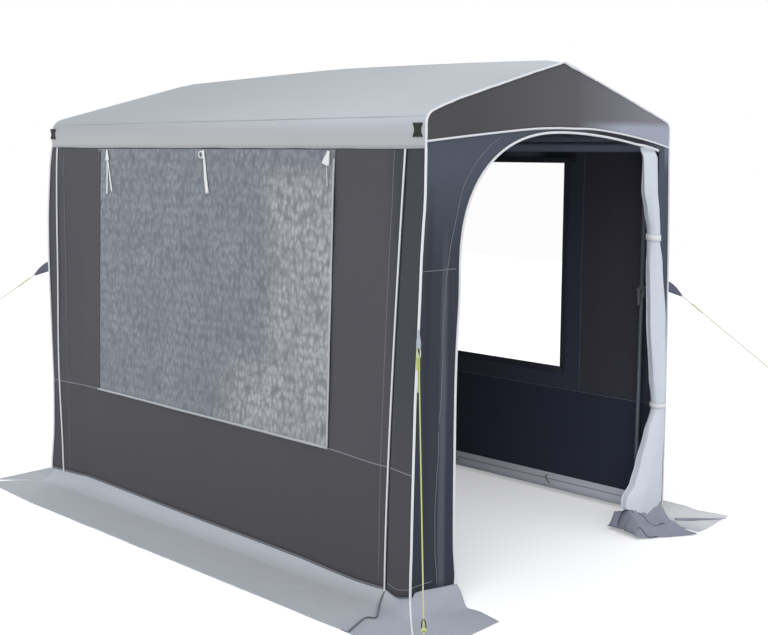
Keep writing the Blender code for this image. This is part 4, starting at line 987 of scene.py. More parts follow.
def side_line(side, z):
    setback = Vector((0, CLOTH + 0.0015, 0))
    seam, window_front, window_rear, flare = [
        Vector((side * HALF_WIDTH, y, z))
        for y in (side_seam(side, z), WINDOW_FRONT, WINDOW_REAR, REAR_FLARE_START)]
    return through(((corner(side, -1, z) + setback, 0), (seam, 8), (window_front, 14),
                    (window_rear, 56), (flare, 10), (corner(side, 1, z) - setback, 12)))


heights = through(((HEM_HEIGHT, 0), (PANEL_SEAM_HEIGHT, 16), (WINDOW_SILL, 5), (WINDOW_HEAD, 34),
                   (VALANCE_HEIGHT, 4), (SHOULDER_Z - 0.008, 3)))
HOLE_COLUMNS = range(22, 78)
HOLE_ROWS = [i for i, z in enumerate(heights) if WINDOW_SILL - 1e-6 <= z < WINDOW_HEAD - 1e-6]
print("columns", len(side_line(-1, 1.0)), "rows", len(heights), "hole rows", len(HOLE_ROWS))

# %% Let the walls hang
def side_point(side, point, z):
    """Where a point of the wall comes to hang, between its seams and over its hem."""
    y = point.y
    top = smooth_step((VALANCE_HEIGHT - 0.02 - z) / 0.25)
    foot = smooth_step((z - HEM_HEIGHT) / 0.10)
    seam = 1 - math.exp(-abs(z - PANEL_SEAM_HEIGHT) / 0.05)
    piped = 1 - math.exp(-abs(y - side_seam(side, z)) / 0.04)
    swell = 0.006 * max(0.0, 0.35 + rumple((0, y * 0.8, z * 0.6), 0.30, 6.3 + side))
    swell += 0.0025 * max(0.0, rumple((0, y, z * 0.7), 0.10, 1.9))
    ends = min(1.0, (y + HALF_LENGTH) / 0.02, (HALF_LENGTH + 0.045 - y) / 0.05)
    point.x -= side * swell * top * foot * seam * piped * max(ends, 0.0)
    point.z += hem_rise(side, y) * (1 - smooth_step((z - HEM_HEIGHT) / 0.30))
    if side < 0:
        near_seam = math.exp(-((z - PANEL_SEAM_HEIGHT) / 0.12) ** 2)
        point.z -= 0.014 * near_seam * smooth_step((-0.80 - y) / 0.35)
    return point


wall_grids = {}
for word, side in SIDES:
    wall_grids[side] = [[side_point(side, p, z) for p in side_line(side, z)] for z in heights]
    skip = {(i, k) for i in HOLE_ROWS for k in HOLE_COLUMNS}
    wall = cloth_panel(word + "_wall_cloth", wall_grids[side], (side, 0, 0),
                       [wall_cloth, wall_lining], skip=skip)
    stand_for(wall, word + "_wall", "wall_cloth", flat=(2.86, 1.91), held="hung", area=3.60,
              rests_on=["roof_canopy_cloth"])

# %% Cut the rear wall
rear_rows = []
rear_top = roof_section(GABLE_INSET, VALANCE_HEIGHT + 0.02, HALF_LENGTH, 2, 8, 24)
rear_half = rear_top[-1][0]
for i, z in enumerate(rising(HEM_HEIGHT, VALANCE_HEIGHT, 36)):
    edge = corner(1, 1, z)
    line = []
    for x, top in rear_top:
        hang = (1 - (abs(x) / rear_half) ** 4) * smooth_step(i / 4) * smooth_step((36 - i) / 6)
        hang *= 0.010 * rumple((x * 1.3, 0, z * 0.5), 0.24, 8.8) - 0.004
        line.append(Vector((edge.x * x / rear_half, edge.y + hang, z)))
    rear_rows.append(line)
for rise in (0.3, 0.65, 1.0):
    rear_rows.append([Vector((x, HALF_LENGTH, VALANCE_HEIGHT + (top - VALANCE_HEIGHT) * rise))
                      for x, top in rear_top])
rear_wall = cloth_panel("rear_wall_cloth", rear_rows, (0, 1, 0), [wall_cloth, wall_lining])
stand_for(rear_wall, "rear_wall", "wall_cloth", flat=(1.86, 2.22), held="hung", area=3.95,
          rests_on=["roof_canopy_cloth"])

# %% [markdown]
# ## Seams on the walls
# The corner seams and the side seams are piped in white from the valance to the ground. The
# panels are joined by a flat stitched seam, which shows as one thin pale line.

# %% Pipe the corners and the seams
REAR_PIPE_HEIGHTS = (HEM_HEIGHT, 0.45, 0.72, 1.28, VALANCE_HEIGHT)
REAR_PIPE_PLACES = (1.352, 1.372, 1.376, 1.352, 1.346)
REAR_STITCH_PLACES = (1.303, 1.300, 1.297, 1.284, 1.282)


def rear_side_point(side, places, z, lift):
    """A point of the side wall's flared end, at a height and a distance along the tent."""
    y = curve_at(z, REAR_PIPE_HEIGHTS, places)
    edge = corner(side, 1, z)
    share = (y - REAR_FLARE_START) / (edge.y - REAR_FLARE_START)
    return Vector((side * (HALF_WIDTH + lift) + (edge.x - side * HALF_WIDTH) * share, y, z))


def sunk(side, line):
    """The same line after the wall's hem has sunk or risen."""
    return [point + UP * hem_rise(side, point.y) * (1 - smooth_step((point.z - HEM_HEIGHT) / 0.30))
            for point in line]


corner_pipes, seam_pipes, rear_stitches = [], [], []
for word, side in SIDES:
    for end in (-1, 1):
        out = Vector((side, end, 0)).normalized() * 0.0046
        corner_pipes.append(sunk(side, [corner(side, end, z) + out for z in
                                        rising(HEM_HEIGHT - 0.004, VALANCE_HEIGHT + 0.004)]))
    low_to_high = rising(HEM_HEIGHT - 0.004, VALANCE_HEIGHT)
    seam_pipes.append(sunk(side, [Vector((side * (HALF_WIDTH + 0.0036), side_seam(side, z), z))
                                  for z in low_to_high]))
    seam_pipes.append(sunk(side, [rear_side_point(side, REAR_PIPE_PLACES, z, 0.0036)
                                  for z in low_to_high]))
    rear_stitches.append(sunk(side, [rear_side_point(side, REAR_STITCH_PLACES, z, 0.0)
                                     for z in rising(HEM_HEIGHT + 0.004, VALANCE_HEIGHT)]))
piping("corner_piping", corner_pipes, 0.0054)
piping("side_seam_piping", seam_pipes, 0.0042)
print("piped corners", len(corner_pipes), "piped seams", len(seam_pipes))

# %% Stitch the panels together
PROUD = 0.0008


def on_grid(rows, z, last=None):
    """The line where a wall's grid passes a height."""
    for low, high in zip(rows, rows[1:]):
        if low[-1].z <= z < high[-1].z:
            share = (z - low[-1].z) / (high[-1].z - low[-1].z)
            return [a.lerp(b, share) for a, b in zip(low, high)][:last]
    return list(rows[-1])[:last]


def on_wall(side, y, z, lift=0.0):
    """A point of a side wall's cloth at a height and a distance along the tent."""
    line = on_grid(wall_grids[side], z)
    a, b = next((a, b) for a, b in zip(line, line[1:]) if b.y >= y)
    return a.lerp(b, (y - a.y) / (b.y - a.y)) + Vector((side * lift, 0, 0))


for (word, side), line in zip(SIDES, rear_stitches):
    ribbon("rear_stitch_" + word, [line], (side, 0, 0), 0.0022, pale_thread, PROUD)
for word, side in SIDES:
    panel_line = on_grid(wall_grids[side], PANEL_SEAM_HEIGHT)
    ribbon(word + "_panel_seam", [panel_line], (side, 0, 0), 0.0055, pale_thread, PROUD)
    inner_line = [p - Vector((side * 0.0014, 0, 0)) for p in panel_line]
    window_seam = [on_wall(side, -0.902, z, -0.0014) for z in rising(0.605, 1.885)]
    ribbon(word + "_panel_seam_inside", [inner_line, window_seam], (-side, 0, 0), 0.0026,
           inside_thread, PROUD)
ribbon("rear_panel_seam", [on_grid(rear_rows, PANEL_SEAM_HEIGHT)], (0, 1, 0), 0.0055,
       pale_thread, PROUD)
strip_line = [on_wall(-1, side_seam(-1, z) + 0.062 - 0.020 * hem_share(z, 1), z)
              for z in rising(0.09, 1.90)]
# a painted shadow line in the fold just in front of the left side seam
seam_shadow_line = [on_wall(-1, side_seam(-1, z) - 0.0085, z) for z in rising(0.078, VALANCE_HEIGHT)]
# a strip of skirt cloth along the left hem, painted mid grey for the shadow under the hem
hem_shade_line = [p + UP * 0.0045 for p in wall_grids[-1][0][8:]]
for name, line, width, finish, lift in (
        ("left_strip_stitch", strip_line, 0.0040, inside_thread, PROUD),
        ("left_seam_fold", seam_shadow_line, 0.0070, dark_fold, 0.0010),
        ("left_hem_tape", hem_shade_line, 0.010, inside_thread, PROUD)):
    ribbon(name, [line], (-1, 0, 0), width, finish, lift)
print("panel seams at", PANEL_SEAM_HEIGHT)

# %% Pipe the doorway and stitch the front panel
door_pipe = []
for p in door_line:
    over = smooth_step((p.x - 0.60) / 0.05) * (1 - smooth_step((p.x - 0.775) / 0.02))
    forward = 0.0016 + 0.020 * over * (p.z > 1.8)
    door_pipe.append(p + Vector((0, -forward, front_hem_rise(p.x, p.z))))
piping("doorway_piping", [[p for p in door_pipe if p.x < 0.8]], 0.0056)
piping("doorway_binding", [[p for p in door_pipe if p.x > 0.785]], 0.0040, binding_cloth)


def front_point(x, z, lift=0.0008):
    """The nearest point of the front wall's cloth to an x and a height."""
    best = min((p for row in front_rows for p in row),
               key=lambda p: (p.x - x) ** 2 + (p.z - z) ** 2)
    return Vector((x, best.y - lift, z))


STITCH_HEIGHTS = (0.09, 0.44, 0.95, 1.26, 1.50, 1.70, 1.76, 1.846, 1.921, 1.955)
STITCH_PLACES = (-0.798, -0.808, -0.785, -0.779, -0.752, -0.695, -0.668, -0.600, -0.503, -0.430)
strip_stitch = [front_point(curve_at(z, STITCH_HEIGHTS, STITCH_PLACES), z)
                for z in rising(0.09, 1.955, 60)]
cross_seam = [front_point(x, 1.42) for x in (-0.905, -0.86, -0.81, -0.76, -0.712)]
for name, line in (("front_strip_stitch", strip_stitch), ("front_cross_seam", cross_seam)):
    ribbon(name, [line], (0, -1, 0), 0.0030, pale_thread)
foot_lines = []
for rise, reach in ((0.040, 10), (0.007, 0)):
    foot_line = [p - Vector((0.0020, 0, 0))
                 for p in on_grid(wall_grids[-1], HEM_HEIGHT + rise, 8)[::-1]]
    foot_line += [front_point(-0.936 + 0.012 * k, HEM_HEIGHT + rise - 0.006 + 0.0006 * k, 0.0030)
                  for k in range(reach)]
    foot_lines.append(foot_line)
piping("front_left_foot_lines", foot_lines, 0.0018, pale_thread)
print("doorway piping", round(path_length(door_pipe), 2), "m")

# %% [markdown]
# ## The windows
# Each window is a hole with a dark binding round it. The right one is closed by clear film.
# The left one has an insect net behind the silver flap. Both are stretched flat, so a plain
# grid is right for them, while the binding is four mitred tapes on each face of the wall.

# %% Hang the window panes
PANE_OVERLAP = 0.020


def window_rows(side):
    rows = []
    for i, z in enumerate(rising(WINDOW_SILL - PANE_OVERLAP, WINDOW_HEAD + PANE_OVERLAP, 16)):
        line = []
        for k, y in enumerate(rising(WINDOW_FRONT - PANE_OVERLAP, WINDOW_REAR + PANE_OVERLAP, 24)):
            free = math.sin(math.pi * i / 16) * math.sin(math.pi * k / 24)
            inward = 0.0021 + free * 0.003 * (1 + rumple((0, y, z), 0.4, 2.5))
            line.append(Vector((side * (HALF_WIDTH - inward), y, z)))
        rows.append(line)
    return rows


for word, side, name, finish, slot in (("left", -1, "left_window_net", insect_net, "window_net"),
                                       ("right", 1, "right_window_film", clear_film, "clear_film")):
    pane = cloth_panel(name + "_pane", window_rows(side), (side, 0, 0), [finish], 0.0)
    stand_for(pane, name, slot, flat=(1.70, 1.151), held="stretched",
              rests_on=[word + "_wall_cloth"])

# %% Bind the window edges
def frame_strip(name, x, width, outward):
    """Four mitred tapes round the window, a little lower near their two edges."""
    rows = []
    for share, dip in ((0.0, 0.0), (0.08, 0.0004), (0.5, 0.0), (0.92, 0.0004), (1.0, 0.0)):
        grow = width * (1 - share)
        low_y, high_y = WINDOW_FRONT - grow, WINDOW_REAR + grow
        low_z, high_z = WINDOW_SILL - grow, WINDOW_HEAD + grow
        ends = [Vector((x - outward * dip, y, z)) for y, z in
                ((low_y, low_z), (high_y, low_z), (high_y, high_z), (low_y, high_z))]
        rows.append(through([(ends[0], 0)] + [(end, 16) for end in ends[1:] + ends[:1]]))
    return cloth_panel(name, rows, (outward, 0, 0), [binding_cloth], 0.0006)


for word, side in SIDES:
    frame_strip(word + "_window_binding", side * (HALF_WIDTH + 0.0008), 0.020, side)
    frame_strip(word + "_window_binding_inside", side * (HALF_WIDTH - 0.0078), 0.030, -side)
print("window", WINDOW_REAR - WINDOW_FRONT, "by", round(WINDOW_HEAD - WINDOW_SILL, 3))

# %% [markdown]
# ## The silver flap
# The flap hangs over the left window from a line just under the valance. It is one quilted
# sheet with a hem on three sides. It swings up on its hinge line, so the sheet and its hem ride
# on the flap's body and not on the tent, and each tie rides on a body of its own.

# %% Hang the flap
FLAP_TOP = VALANCE_HEIGHT - 0.0035
FLAP_BOTTOM = 0.590
FLAP_TOP_ENDS = (-0.886, 0.935)
FLAP_BOTTOM_ENDS = (-0.830, 1.020)
FLAP_FACE = -(HALF_WIDTH + 0.0030)


def flap_point(u, v):
    """u runs from the front end to the rear one, v from the top to the bottom."""
    a, b = [top + (low - top) * v for top, low in zip(FLAP_TOP_ENDS, FLAP_BOTTOM_ENDS)]
    y = a + (b - a) * u
    z = FLAP_TOP + (FLAP_BOTTOM - FLAP_TOP) * v
    free = smooth_step(v / 0.10)
    wave = 0.5 + 0.5 * math.sin(2 * math.pi * (u * 1.9 + 0.35 * math.sin(3 * v)) + 0.6)
    billow = free * (0.0025 * wave + 0.0030 * max(0.0, rumple((0, y, z), 0.17, 9.2)))
    lens_puff = free * 0.0004 * (0.5 + rumple((0, y, z * 0.35), 0.016, 3.0))
    if v > 0.999:
        z += 0.0015 * rumple((0, y, z), 0.09, 5.0)
    return Vector((FLAP_FACE - billow - max(0.0, lens_puff), y, z))


flap_rows = [[flap_point(k / 260, i / 110) for k in range(261)] for i in range(111)]
flap = cloth_panel("window_flap_quilt", flap_rows, (-1, 0, 0), [foil, binding_cloth], 0.0011,
                   body="window_flap")
stand_for(flap, "left_window_flap", "foil_flap", flat=(1.84, 1.312), held="hung",
          rests_on=["left_wall_cloth"])

# %% Hem the flap
hem_foil = cloth_finish("flap_hem", (186, 189, 193))


def flap_line(start, finish, steps):
    return [flap_point(*place) for place in rising(Vector(start), Vector(finish), steps)]


flap_hems = [flap_line((0.0035, 0.03), (0.0035, 0.996), 60),
             flap_line((0.002, 0.9945), (0.998, 0.9945), 120)]
ribbon("window_flap_hem", flap_hems, (-1, 0, 0), 0.011, hem_foil, 0.0012, "window_flap")
ribbon("window_flap_rear_hem", [flap_line((0.993, 0.01), (0.993, 0.990), 80)], (-1, 0, 0), 0.024,
       wall_cloth, 0.0013, "window_flap")
print("flap hem", round(sum(path_length(line) for line in flap_hems), 2), "m")

# %% [markdown]
# Three pairs of white tapes hang over the flap. Each starts as a folded knot under the valance
# and ends in one or two loose tails. A tape is a narrow strip along a spine, a little crowned
# across its width, so a list of spines and widths describes all of them.

# %% Make strips of tape along spines
def strips(name, parts, body="root", face=(-1, 0, 0)):
    out = Vector(face)
    grids = []
    for spine, widths, crown in parts:
        grid = []
        for point, heading, width, run in zip(spine, headings(spine), widths, runs(spine)):
            aside = heading.cross(out).normalized() * width / 2
            grid.append([(point + aside * t + out * crown * width * (1 - t * t),
                          (run, t * width / 2)) for t in (-1, -0.5, 0, 0.5, 1)])
        grids.append(grid)
    mesh = skin(name, grids, face, each=True)
    return thicken(place_piece(name, mesh, [tape_cloth], body), 0.0010, 0.0)


def flap_spine(y, drop_from, drop_to, y_end=None, steps=14, off=0.0035):
    """A line that falls over the flap, a little in front of its face."""
    spine = []
    y_end = y if y_end is None else y_end
    for along, drop in zip(rising(y, y_end, steps), rising(drop_from, drop_to, steps)):
        z = FLAP_TOP - 0.006 - drop
        v = (FLAP_TOP - z) / (FLAP_TOP - FLAP_BOTTOM)
        u = (along - FLAP_TOP_ENDS[0]) / (FLAP_TOP_ENDS[1] - FLAP_TOP_ENDS[0])
        spine.append(Vector((flap_point(min(max(u, 0), 1), v).x - off, along, z)))
    return spine


def flap_knot(y, drop_to, y_end=None):
    return flap_spine(y, 0, drop_to, y_end, 10, 0.0050)


print("tie tops at", round(FLAP_TOP - 0.006, 3))

# %% Tie the flap's tapes
tail_widths = rising(0.009, 0.013, 14)
tie_parts = {
    "rear": (0.44, [(flap_knot(0.846, 0.056), rising(0.012, 0.036, 10), 0.16),
                    (flap_spine(0.844, 0.048, 0.215, 0.812), tail_widths, 0.10),
                    (flap_spine(0.848, 0.048, 0.230, 0.856), tail_widths, 0.10)]),
    "middle": (0.22, [(flap_knot(0.022, 0.040, 0.018), rising(0.015, 0.018, 10), 0.16),
                      (flap_spine(0.018, 0.030, 0.204, -0.004),
                       [0.016 + 0.009 * smooth_step(k / 14) for k in range(15)], 0.12)]),
    "front": (0.17, [(flap_knot(-0.850, 0.058, -0.830),
                      [0.017 + 0.030 * smooth_step(k / 10) for k in range(11)], 0.16),
                     (flap_spine(-0.836, 0.050, 0.150, -0.842), [0.0035] * 15, 0.08)])}
for word, (length, parts) in tie_parts.items():
    tie = strips("flap_tie_tape_" + word, parts, "tie_" + word)
    stand_for(tie, "flap_tie_" + word, "white_tape", flat=(0.018, length), held="hung",
              rests_on=["window_flap_quilt"])
eyelet = flap_spine(0.038, 0.021, 0.023, steps=1, off=0.0070)[0]
piping("flap_tie_eyelet", [round_line(eyelet, Vector((0, 0.0150, 0)), UP * 0.0150, 20)], 0.0030,
       tape_cloth, "tie_middle")

# %% [markdown]
# ## The rolled up flap
# The right window's flap is rolled up on the outside, under the valance. The roll is modelled
# as the real sheet is: one long spiral of quilt, about twelve turns from the core to the skin, so
# its ends show the turns. It sags a little between the three tapes that hold it.

# %% Roll the right flap
ROLL_RADIUS, ROLL_CORE, ROLL_PITCH = 0.0295, 0.0035, 0.0021
ROLL_CENTRE = Vector((HALF_WIDTH + 0.0303, 0, (WINDOW_HEAD + VALANCE_HEIGHT) / 2 - 0.004))
ROLL_TIES = (-0.800, 0.050, 0.905)
ROLL_TURNS = (ROLL_RADIUS - ROLL_CORE) / ROLL_PITCH
SPOKES = 22

roll_rows = []
for i, y in enumerate(rising(-0.860, 0.970, 48)):
    sag = 0.004 * smooth_step(min(abs(y - tie) for tie in ROLL_TIES) / 0.25)
    squeeze = 1 - 0.10 * max(math.exp(-((y - tie) / 0.022) ** 2) for tie in ROLL_TIES)
    line = []
    for k in range(int(ROLL_TURNS * SPOKES) + 1):
        angle = 2 * math.pi * k / SPOKES + 0.15 * rumple((y, 0, 0), 0.5, 2.0)
        reach = (ROLL_CORE + ROLL_PITCH * k / SPOKES) * squeeze
        reach *= 1 + 0.035 * rumple((math.cos(angle), y * 6, math.sin(angle)), 1.4, 6.0)
        end_shift = 0.0035 * math.sin(k * 0.021) * (i in (0, 48))
        line.append(ROLL_CENTRE + Vector((reach * math.cos(angle), y + end_shift,
                                          reach * math.sin(angle) - sag)))
    roll_rows.append(line)
roll = place_piece("rolled_window_flap", grid_mesh("rolled_window_flap", roll_rows), [foil])
stand_for(roll, "right_window_roll", "foil_flap", flat=(1.84, 1.312), held="folded",
          rests_on=["right_wall_cloth"])

# %% Tie the roll
def loop_band(name, loops, width, axis, thick=0.0012):
    """A tape round each closed line, as wide as it says along its axis."""
    grids = [[[(point + axis * (width / 2 * (row - 1)), (k * 0.006, row * width / 2))
               for k, point in enumerate(loop)] for row in range(3)] for loop in loops]
    return thicken(place_piece(name, skin(name, grids, closed=True), [tape_cloth]), thick, 0.0)


TIE_REACH = ROLL_RADIUS * 0.90 + 0.0024
roll_loops, roll_tails = [], []
for tie in ROLL_TIES:
    middle = ROLL_CENTRE + Vector((0, tie, 0))
    roll_loops.append(round_line(middle, Vector((TIE_REACH, 0, 0)), UP * TIE_REACH, 32))
    for lean, drop in ((-0.012, 0.10), (0.010, 0.13)):
        spine = [middle + Vector((ROLL_RADIUS * 0.92 - 0.022 * smooth_step(k / 6), lean * k / 12,
                                  -0.006 - drop * k / 12)) for k in range(13)]
        roll_tails.append((spine, [0.012] * 13, 0.10))
loop_band("roll_ties", roll_loops, 0.016, Vector((0, 1, 0)))
strips("roll_tie_tails", roll_tails, face=(1, 0, 0))
print("roll ties", len(ROLL_TIES))

# %% [markdown]
# ## The ground skirts
# A pale coated skirt is sewn under the hem of each wall. It drops from the hem, turns, and
# lies on the ground, with low ripples and an edge that never runs quite straight. Each skirt
# is a grid between its sewn edge and its free edge. A drape curve gives the height.

# %% Drape a skirt
SKIRT_DRAPE = ((0.0, 0.0697), (0.02, 0.052), (0.06, 0.030), (0.12, 0.015), (0.22, 0.0040),
               (1.0, 0.0022))
SKIRT_SHARES = [0, .01, .02, .035, .05, .07, .09, .12, .155, .19, .22]
SKIRT_SHARES += rising(0.26, 0.96, 18) + [0.98, 1.0]
LIP_SHARES = (0.0, 0.066, 0.245, 0.50, 0.535, 0.58, 0.73, 1.0)
LIP_REACH = (0.0, 0.0, 0.026, 0.074, 0.072, 0.037, 0.036, 0.044)


def drape_height(share):
    for (a, high), (b, low) in zip(SKIRT_DRAPE, SKIRT_DRAPE[1:]):
        if share <= b:
            return high + (low - high) * (share - a) / (b - a)


def on_ground(places, steps):
    return through([(Vector((*place, 0)), count) for place, count in zip(places, (0, *steps))])


def skirt_rows(inner, outer, steps, ripple=0.005, edge=0.004, seed=0.0, lip=0, long_end=0):
    sewn, free = on_ground(inner, steps), on_ground(outer, steps)
    rows = []
    for share in SKIRT_SHARES:
        line = []
        for a, b in zip(sewn, free):
            point = a.lerp(b, share)
            point += (b - a).normalized() * edge * share ** 3 * rumple(point, 0.16, seed + 2.0)
            near_end = long_end * max(0.0, 1 - (a - sewn[-1]).length / 0.15)
            steep = max(SKIRT_DRAPE[-1][1], SKIRT_DRAPE[0][1] * (1 - share / 0.36))
            z = drape_height(share) * (1 - near_end) + steep * near_end
            z *= 1 + hem_rise(a.x, a.y) / HEM_HEIGHT
            point.x -= 0.024 * near_end * math.exp(-((share - 0.34) / 0.15) ** 2)
            lie = smooth_step((share - 0.10) / 0.25)
            wave = 0.5 * rumple(point, 0.20, seed) + 0.35 * rumple(point, 0.075, seed + 5)
            z += ripple * lie * max(0.0, wave + 0.12)
            gather = 0.0022 * math.exp(-((share - 0.07) / 0.06) ** 2)
            z += gather * (1 + rumple(point, 0.035, seed + 8))
            near = lip * max(0.0, 1 - (a - sewn[0]).length / 0.12)
            point.y -= near * curve_at(share, LIP_SHARES, LIP_REACH)
            point.z = max(z + 0.0050 * near * smooth_step(share / 0.15), 0.0016)
            line.append(point)
        rows.append(line)
    return rows


print("skirt rows", len(SKIRT_SHARES))

# %% Lay the skirts at the sides and the rear
SKIRT_X = HALF_WIDTH + 0.364
SKIRT_Y = HALF_LENGTH + 0.290
MITRE = 0.030
REACH_BACK = {-1: 0.105, 1: -0.130}
SEAM_GAP = 0.0006


def sewn_point(side, end):
    point = corner(side, end, HEM_HEIGHT)
    return point.x - side * CLOTH, point.y - end * CLOTH


def lay_skirt(place, inner, outer, steps, flat, area, **shape):
    rows = skirt_rows(inner, outer, steps, **shape)
    piece = cloth_panel("ground_skirt_" + place, rows, UP, [skirt_cloth], 0.0009)
    stand_for(piece, "skirt_" + place, "skirt_cloth", flat=flat, held="laid", area=area)
    piping(piece.name + "_edge", [[p + UP * 0.0003 for p in rows[-1]]], 0.0014, skirt_cloth)
    return rows


for word, side in SIDES:
    front = side_seam(side, HEM_HEIGHT) + SEAM_GAP
    rear_x, rear_y = sewn_point(side, 1)
    seam_x = side * (HALF_WIDTH - CLOTH)
    inner = [(seam_x, front), (seam_x, 0.0), (seam_x, REAR_FLARE_START),
             (rear_x, rear_y - SEAM_GAP)]
    outer = [(side * SKIRT_X, front - REACH_BACK[side]), (side * SKIRT_X, 0.0),
             (side * SKIRT_X, REAR_FLARE_START), (side * (SKIRT_X - MITRE), SKIRT_Y)]
    rows = lay_skirt(word, inner, outer, (60, 56, 26), (0.40, 2.95), 1.02, seed=3.0 + side,
                     lip=int(side < 0))
    if side < 0:
        # a grey line along the left skirt's lip: its edging, and the painted shadow the lip casts
        # on the corner skirt
        lip_shadow_line = [row[0] + Vector((0, -0.0010, 0.0002)) for row in rows[1:]]
        piping("skirt_lip", [lip_shadow_line], 0.0026, inside_thread)

rear_x, rear_y = sewn_point(1, 1)
inner = [(x, rear_y) for x in rising(-rear_x, rear_x, 4)]
outer = [((SKIRT_X - 3 * MITRE) * (k / 2 - 1), SKIRT_Y) for k in range(5)]
lay_skirt("rear", inner, outer, (24, 24, 24, 24), (0.27, 2.35), 0.56, seed=9.0)

# %% Lay the skirts round the front corners
DOOR_SKIRT_START = 0.830
CORNER_EASE, CORNER_CUT, LEFT_SKIRT_END = 0.004, 0.10, -0.757


def corner_skirt_line(side, jamb):
    seam_x, seam_y = side * (HALF_WIDTH - CLOTH), side_seam(side, HEM_HEIGHT) - SEAM_GAP
    turn_x, turn_y = sewn_point(side, -1)
    jamb_y = -HALF_LENGTH + CLOTH
    return [(seam_x, seam_y), ((seam_x + turn_x) / 2, (seam_y + turn_y) / 2),
            (turn_x, turn_y + CORNER_EASE), (turn_x, turn_y), (turn_x - side * CORNER_EASE, turn_y),
            ((turn_x + jamb) / 2, (turn_y + jamb_y) / 2), (jamb, jamb_y)]


inner = corner_skirt_line(-1, JAMB_PLACES[0] + 0.012)
reach = inner[0][1] - REACH_BACK[-1]
cut_x, cut_y = -SKIRT_X + CORNER_CUT, -SKIRT_Y + CORNER_CUT
outer = [(-SKIRT_X, reach), (-SKIRT_X, (reach + cut_y) / 2), (-SKIRT_X, cut_y),
         (-SKIRT_X + CORNER_CUT * 0.3, -SKIRT_Y + CORNER_CUT * 0.3), (cut_x, -SKIRT_Y),
         ((cut_x + LEFT_SKIRT_END) / 2, -SKIRT_Y), (LEFT_SKIRT_END, -SKIRT_Y)]
rows = lay_skirt("front_left", inner, outer, (12, 10, 8, 8, 12, 14), (0.36, 0.75), 0.20,
                 ripple=0.004, seed=6.0, long_end=1)
piping("corner_piping_tail", [[row[30] + UP * 0.0035 for row in rows]], 0.0048)

inner = corner_skirt_line(1, DOOR_SKIRT_START)
seam = Vector(inner[0])
start = seam.lerp(Vector((SKIRT_X, seam.y - REACH_BACK[1])), 0.88)
outer = [(start.x, start.y - SEAM_GAP), (1.165, -1.300), (1.150, -1.460), (1.140, -1.580),
         (1.169, -1.672), (0.990, -1.690), (DOOR_SKIRT_START, -SKIRT_Y)]
lay_skirt("front_right", inner, outer, (12, 12, 10, 10, 12, 14), (0.36, 0.55), 0.125,
          ripple=0.016, edge=0.010, seed=12.0)

# %% Sew a strip along the inside of the right wall
INSIDE_STRIP = ((0.106, 0.0), (0.070, 0.001), (0.064, 0.003), (0.045, 0.004), (0.022, 0.006))
strip_cloth = cloth_finish("inside_strip", (222, 226, 236), 0.10, 0.0030, 620.0, 0.2)
strip_rows = []
for z, inward in INSIDE_STRIP:
    line = []
    for y in rising(-1.245, 1.355, 100):
        wander = 0.004 * rumple((0, y, z), 0.12, 2.0) * (inward > 0.001)
        line.append(Vector((HALF_WIDTH - 0.0040 - inward - abs(wander), y, z + 0.3 * wander)))
    strip_rows.append(line)
cloth_panel("inside_skirt_strip", strip_rows, (-1, 0, 0), [strip_cloth], 0.0008)
# a grey line along the strip at the height of the wall's hem
ribbon("inside_strip_stitch", [strip_rows[1]], (-1, 0, 0), 0.004, pale_thread, 0.0012)
peg_loops = [[Vector((HALF_WIDTH - 0.020 - 0.020 * math.sin(a), y + 0.010 * math.cos(a),
                      0.052 + 0.040 * math.cos(a / 2)))
              for a in rising(-math.pi / 6, math.pi, 14)] for y in (-0.723, -0.050, 0.650)]
piping("inside_peg_loops", peg_loops, 0.0022, dark_thread)
print("inside strip", len(strip_rows[0]), "columns,", len(peg_loops), "peg loops")

# %% [markdown]
# ## The door curtain
# The door is a cloth as wide as the doorway, gathered into a bundle at the right jamb. Rolling
# a pleated line round itself three and a half times gives the folds that a gathered cloth
# really has. The outer turn follows the bundle's measured width and depth at each height.

# %% Gather the curtain
CURTAIN_SECTIONS = (
    (1.936, 0.738, -1.3840, 0.066, 0.011, 0.0), (1.912, 0.720, -1.3880, 0.064, 0.012, 0.04),
    (1.880, 0.703, -1.4120, 0.059, 0.018, 0.10), (1.860, 0.698, -1.424, 0.058, 0.020, 0.12),
    (1.706, 0.688, -1.435, 0.054, 0.029, 0.14), (1.600, 0.706, -1.439, 0.043, 0.032, 0.12),
    (1.500, 0.724, -1.440, 0.0315, 0.032, 0.05), (1.460, 0.724, -1.440, 0.0315, 0.032, 0.05),
    (1.350, 0.743, -1.440, 0.051, 0.0335, 0.12), (1.058, 0.780, -1.440, 0.068, 0.0335, 0.14),
    (0.760, 0.809, -1.440, 0.0555, 0.033, 0.12), (0.640, 0.818, -1.440, 0.0405, 0.0325, 0.05),
    (0.600, 0.818, -1.440, 0.0405, 0.0325, 0.05), (0.492, 0.794, -1.441, 0.077, 0.0335, 0.12),
    (0.340, 0.758, -1.443, 0.111, 0.034, 0.14), (0.250, 0.7345, -1.445, 0.1345, 0.034, 0.14),
    (0.190, 0.698, -1.446, 0.171, 0.034, 0.14), (0.060, 0.691, -1.447, 0.175, 0.032, 0.14))
FOOT_PLACES, FOOT_HEIGHTS = (0.51, 0.60, 0.70, 0.79, 0.86), (0.138, 0.102, 0.074, 0.086, 0.098)
PLEATS, CURTAIN_TURNS, TURN_POINTS = 7, 3.5, 84


def curtain_section(z):
    for high, low in zip(CURTAIN_SECTIONS, CURTAIN_SECTIONS[1:]):
        if z >= low[0]:
            share = (high[0] - z) / (high[0] - low[0])
            share = 0.5 * (share + smooth_step(share))
            return [a + (b - a) * share for a, b in zip(high[1:], low[1:])]
    return list(CURTAIN_SECTIONS[-1][1:])


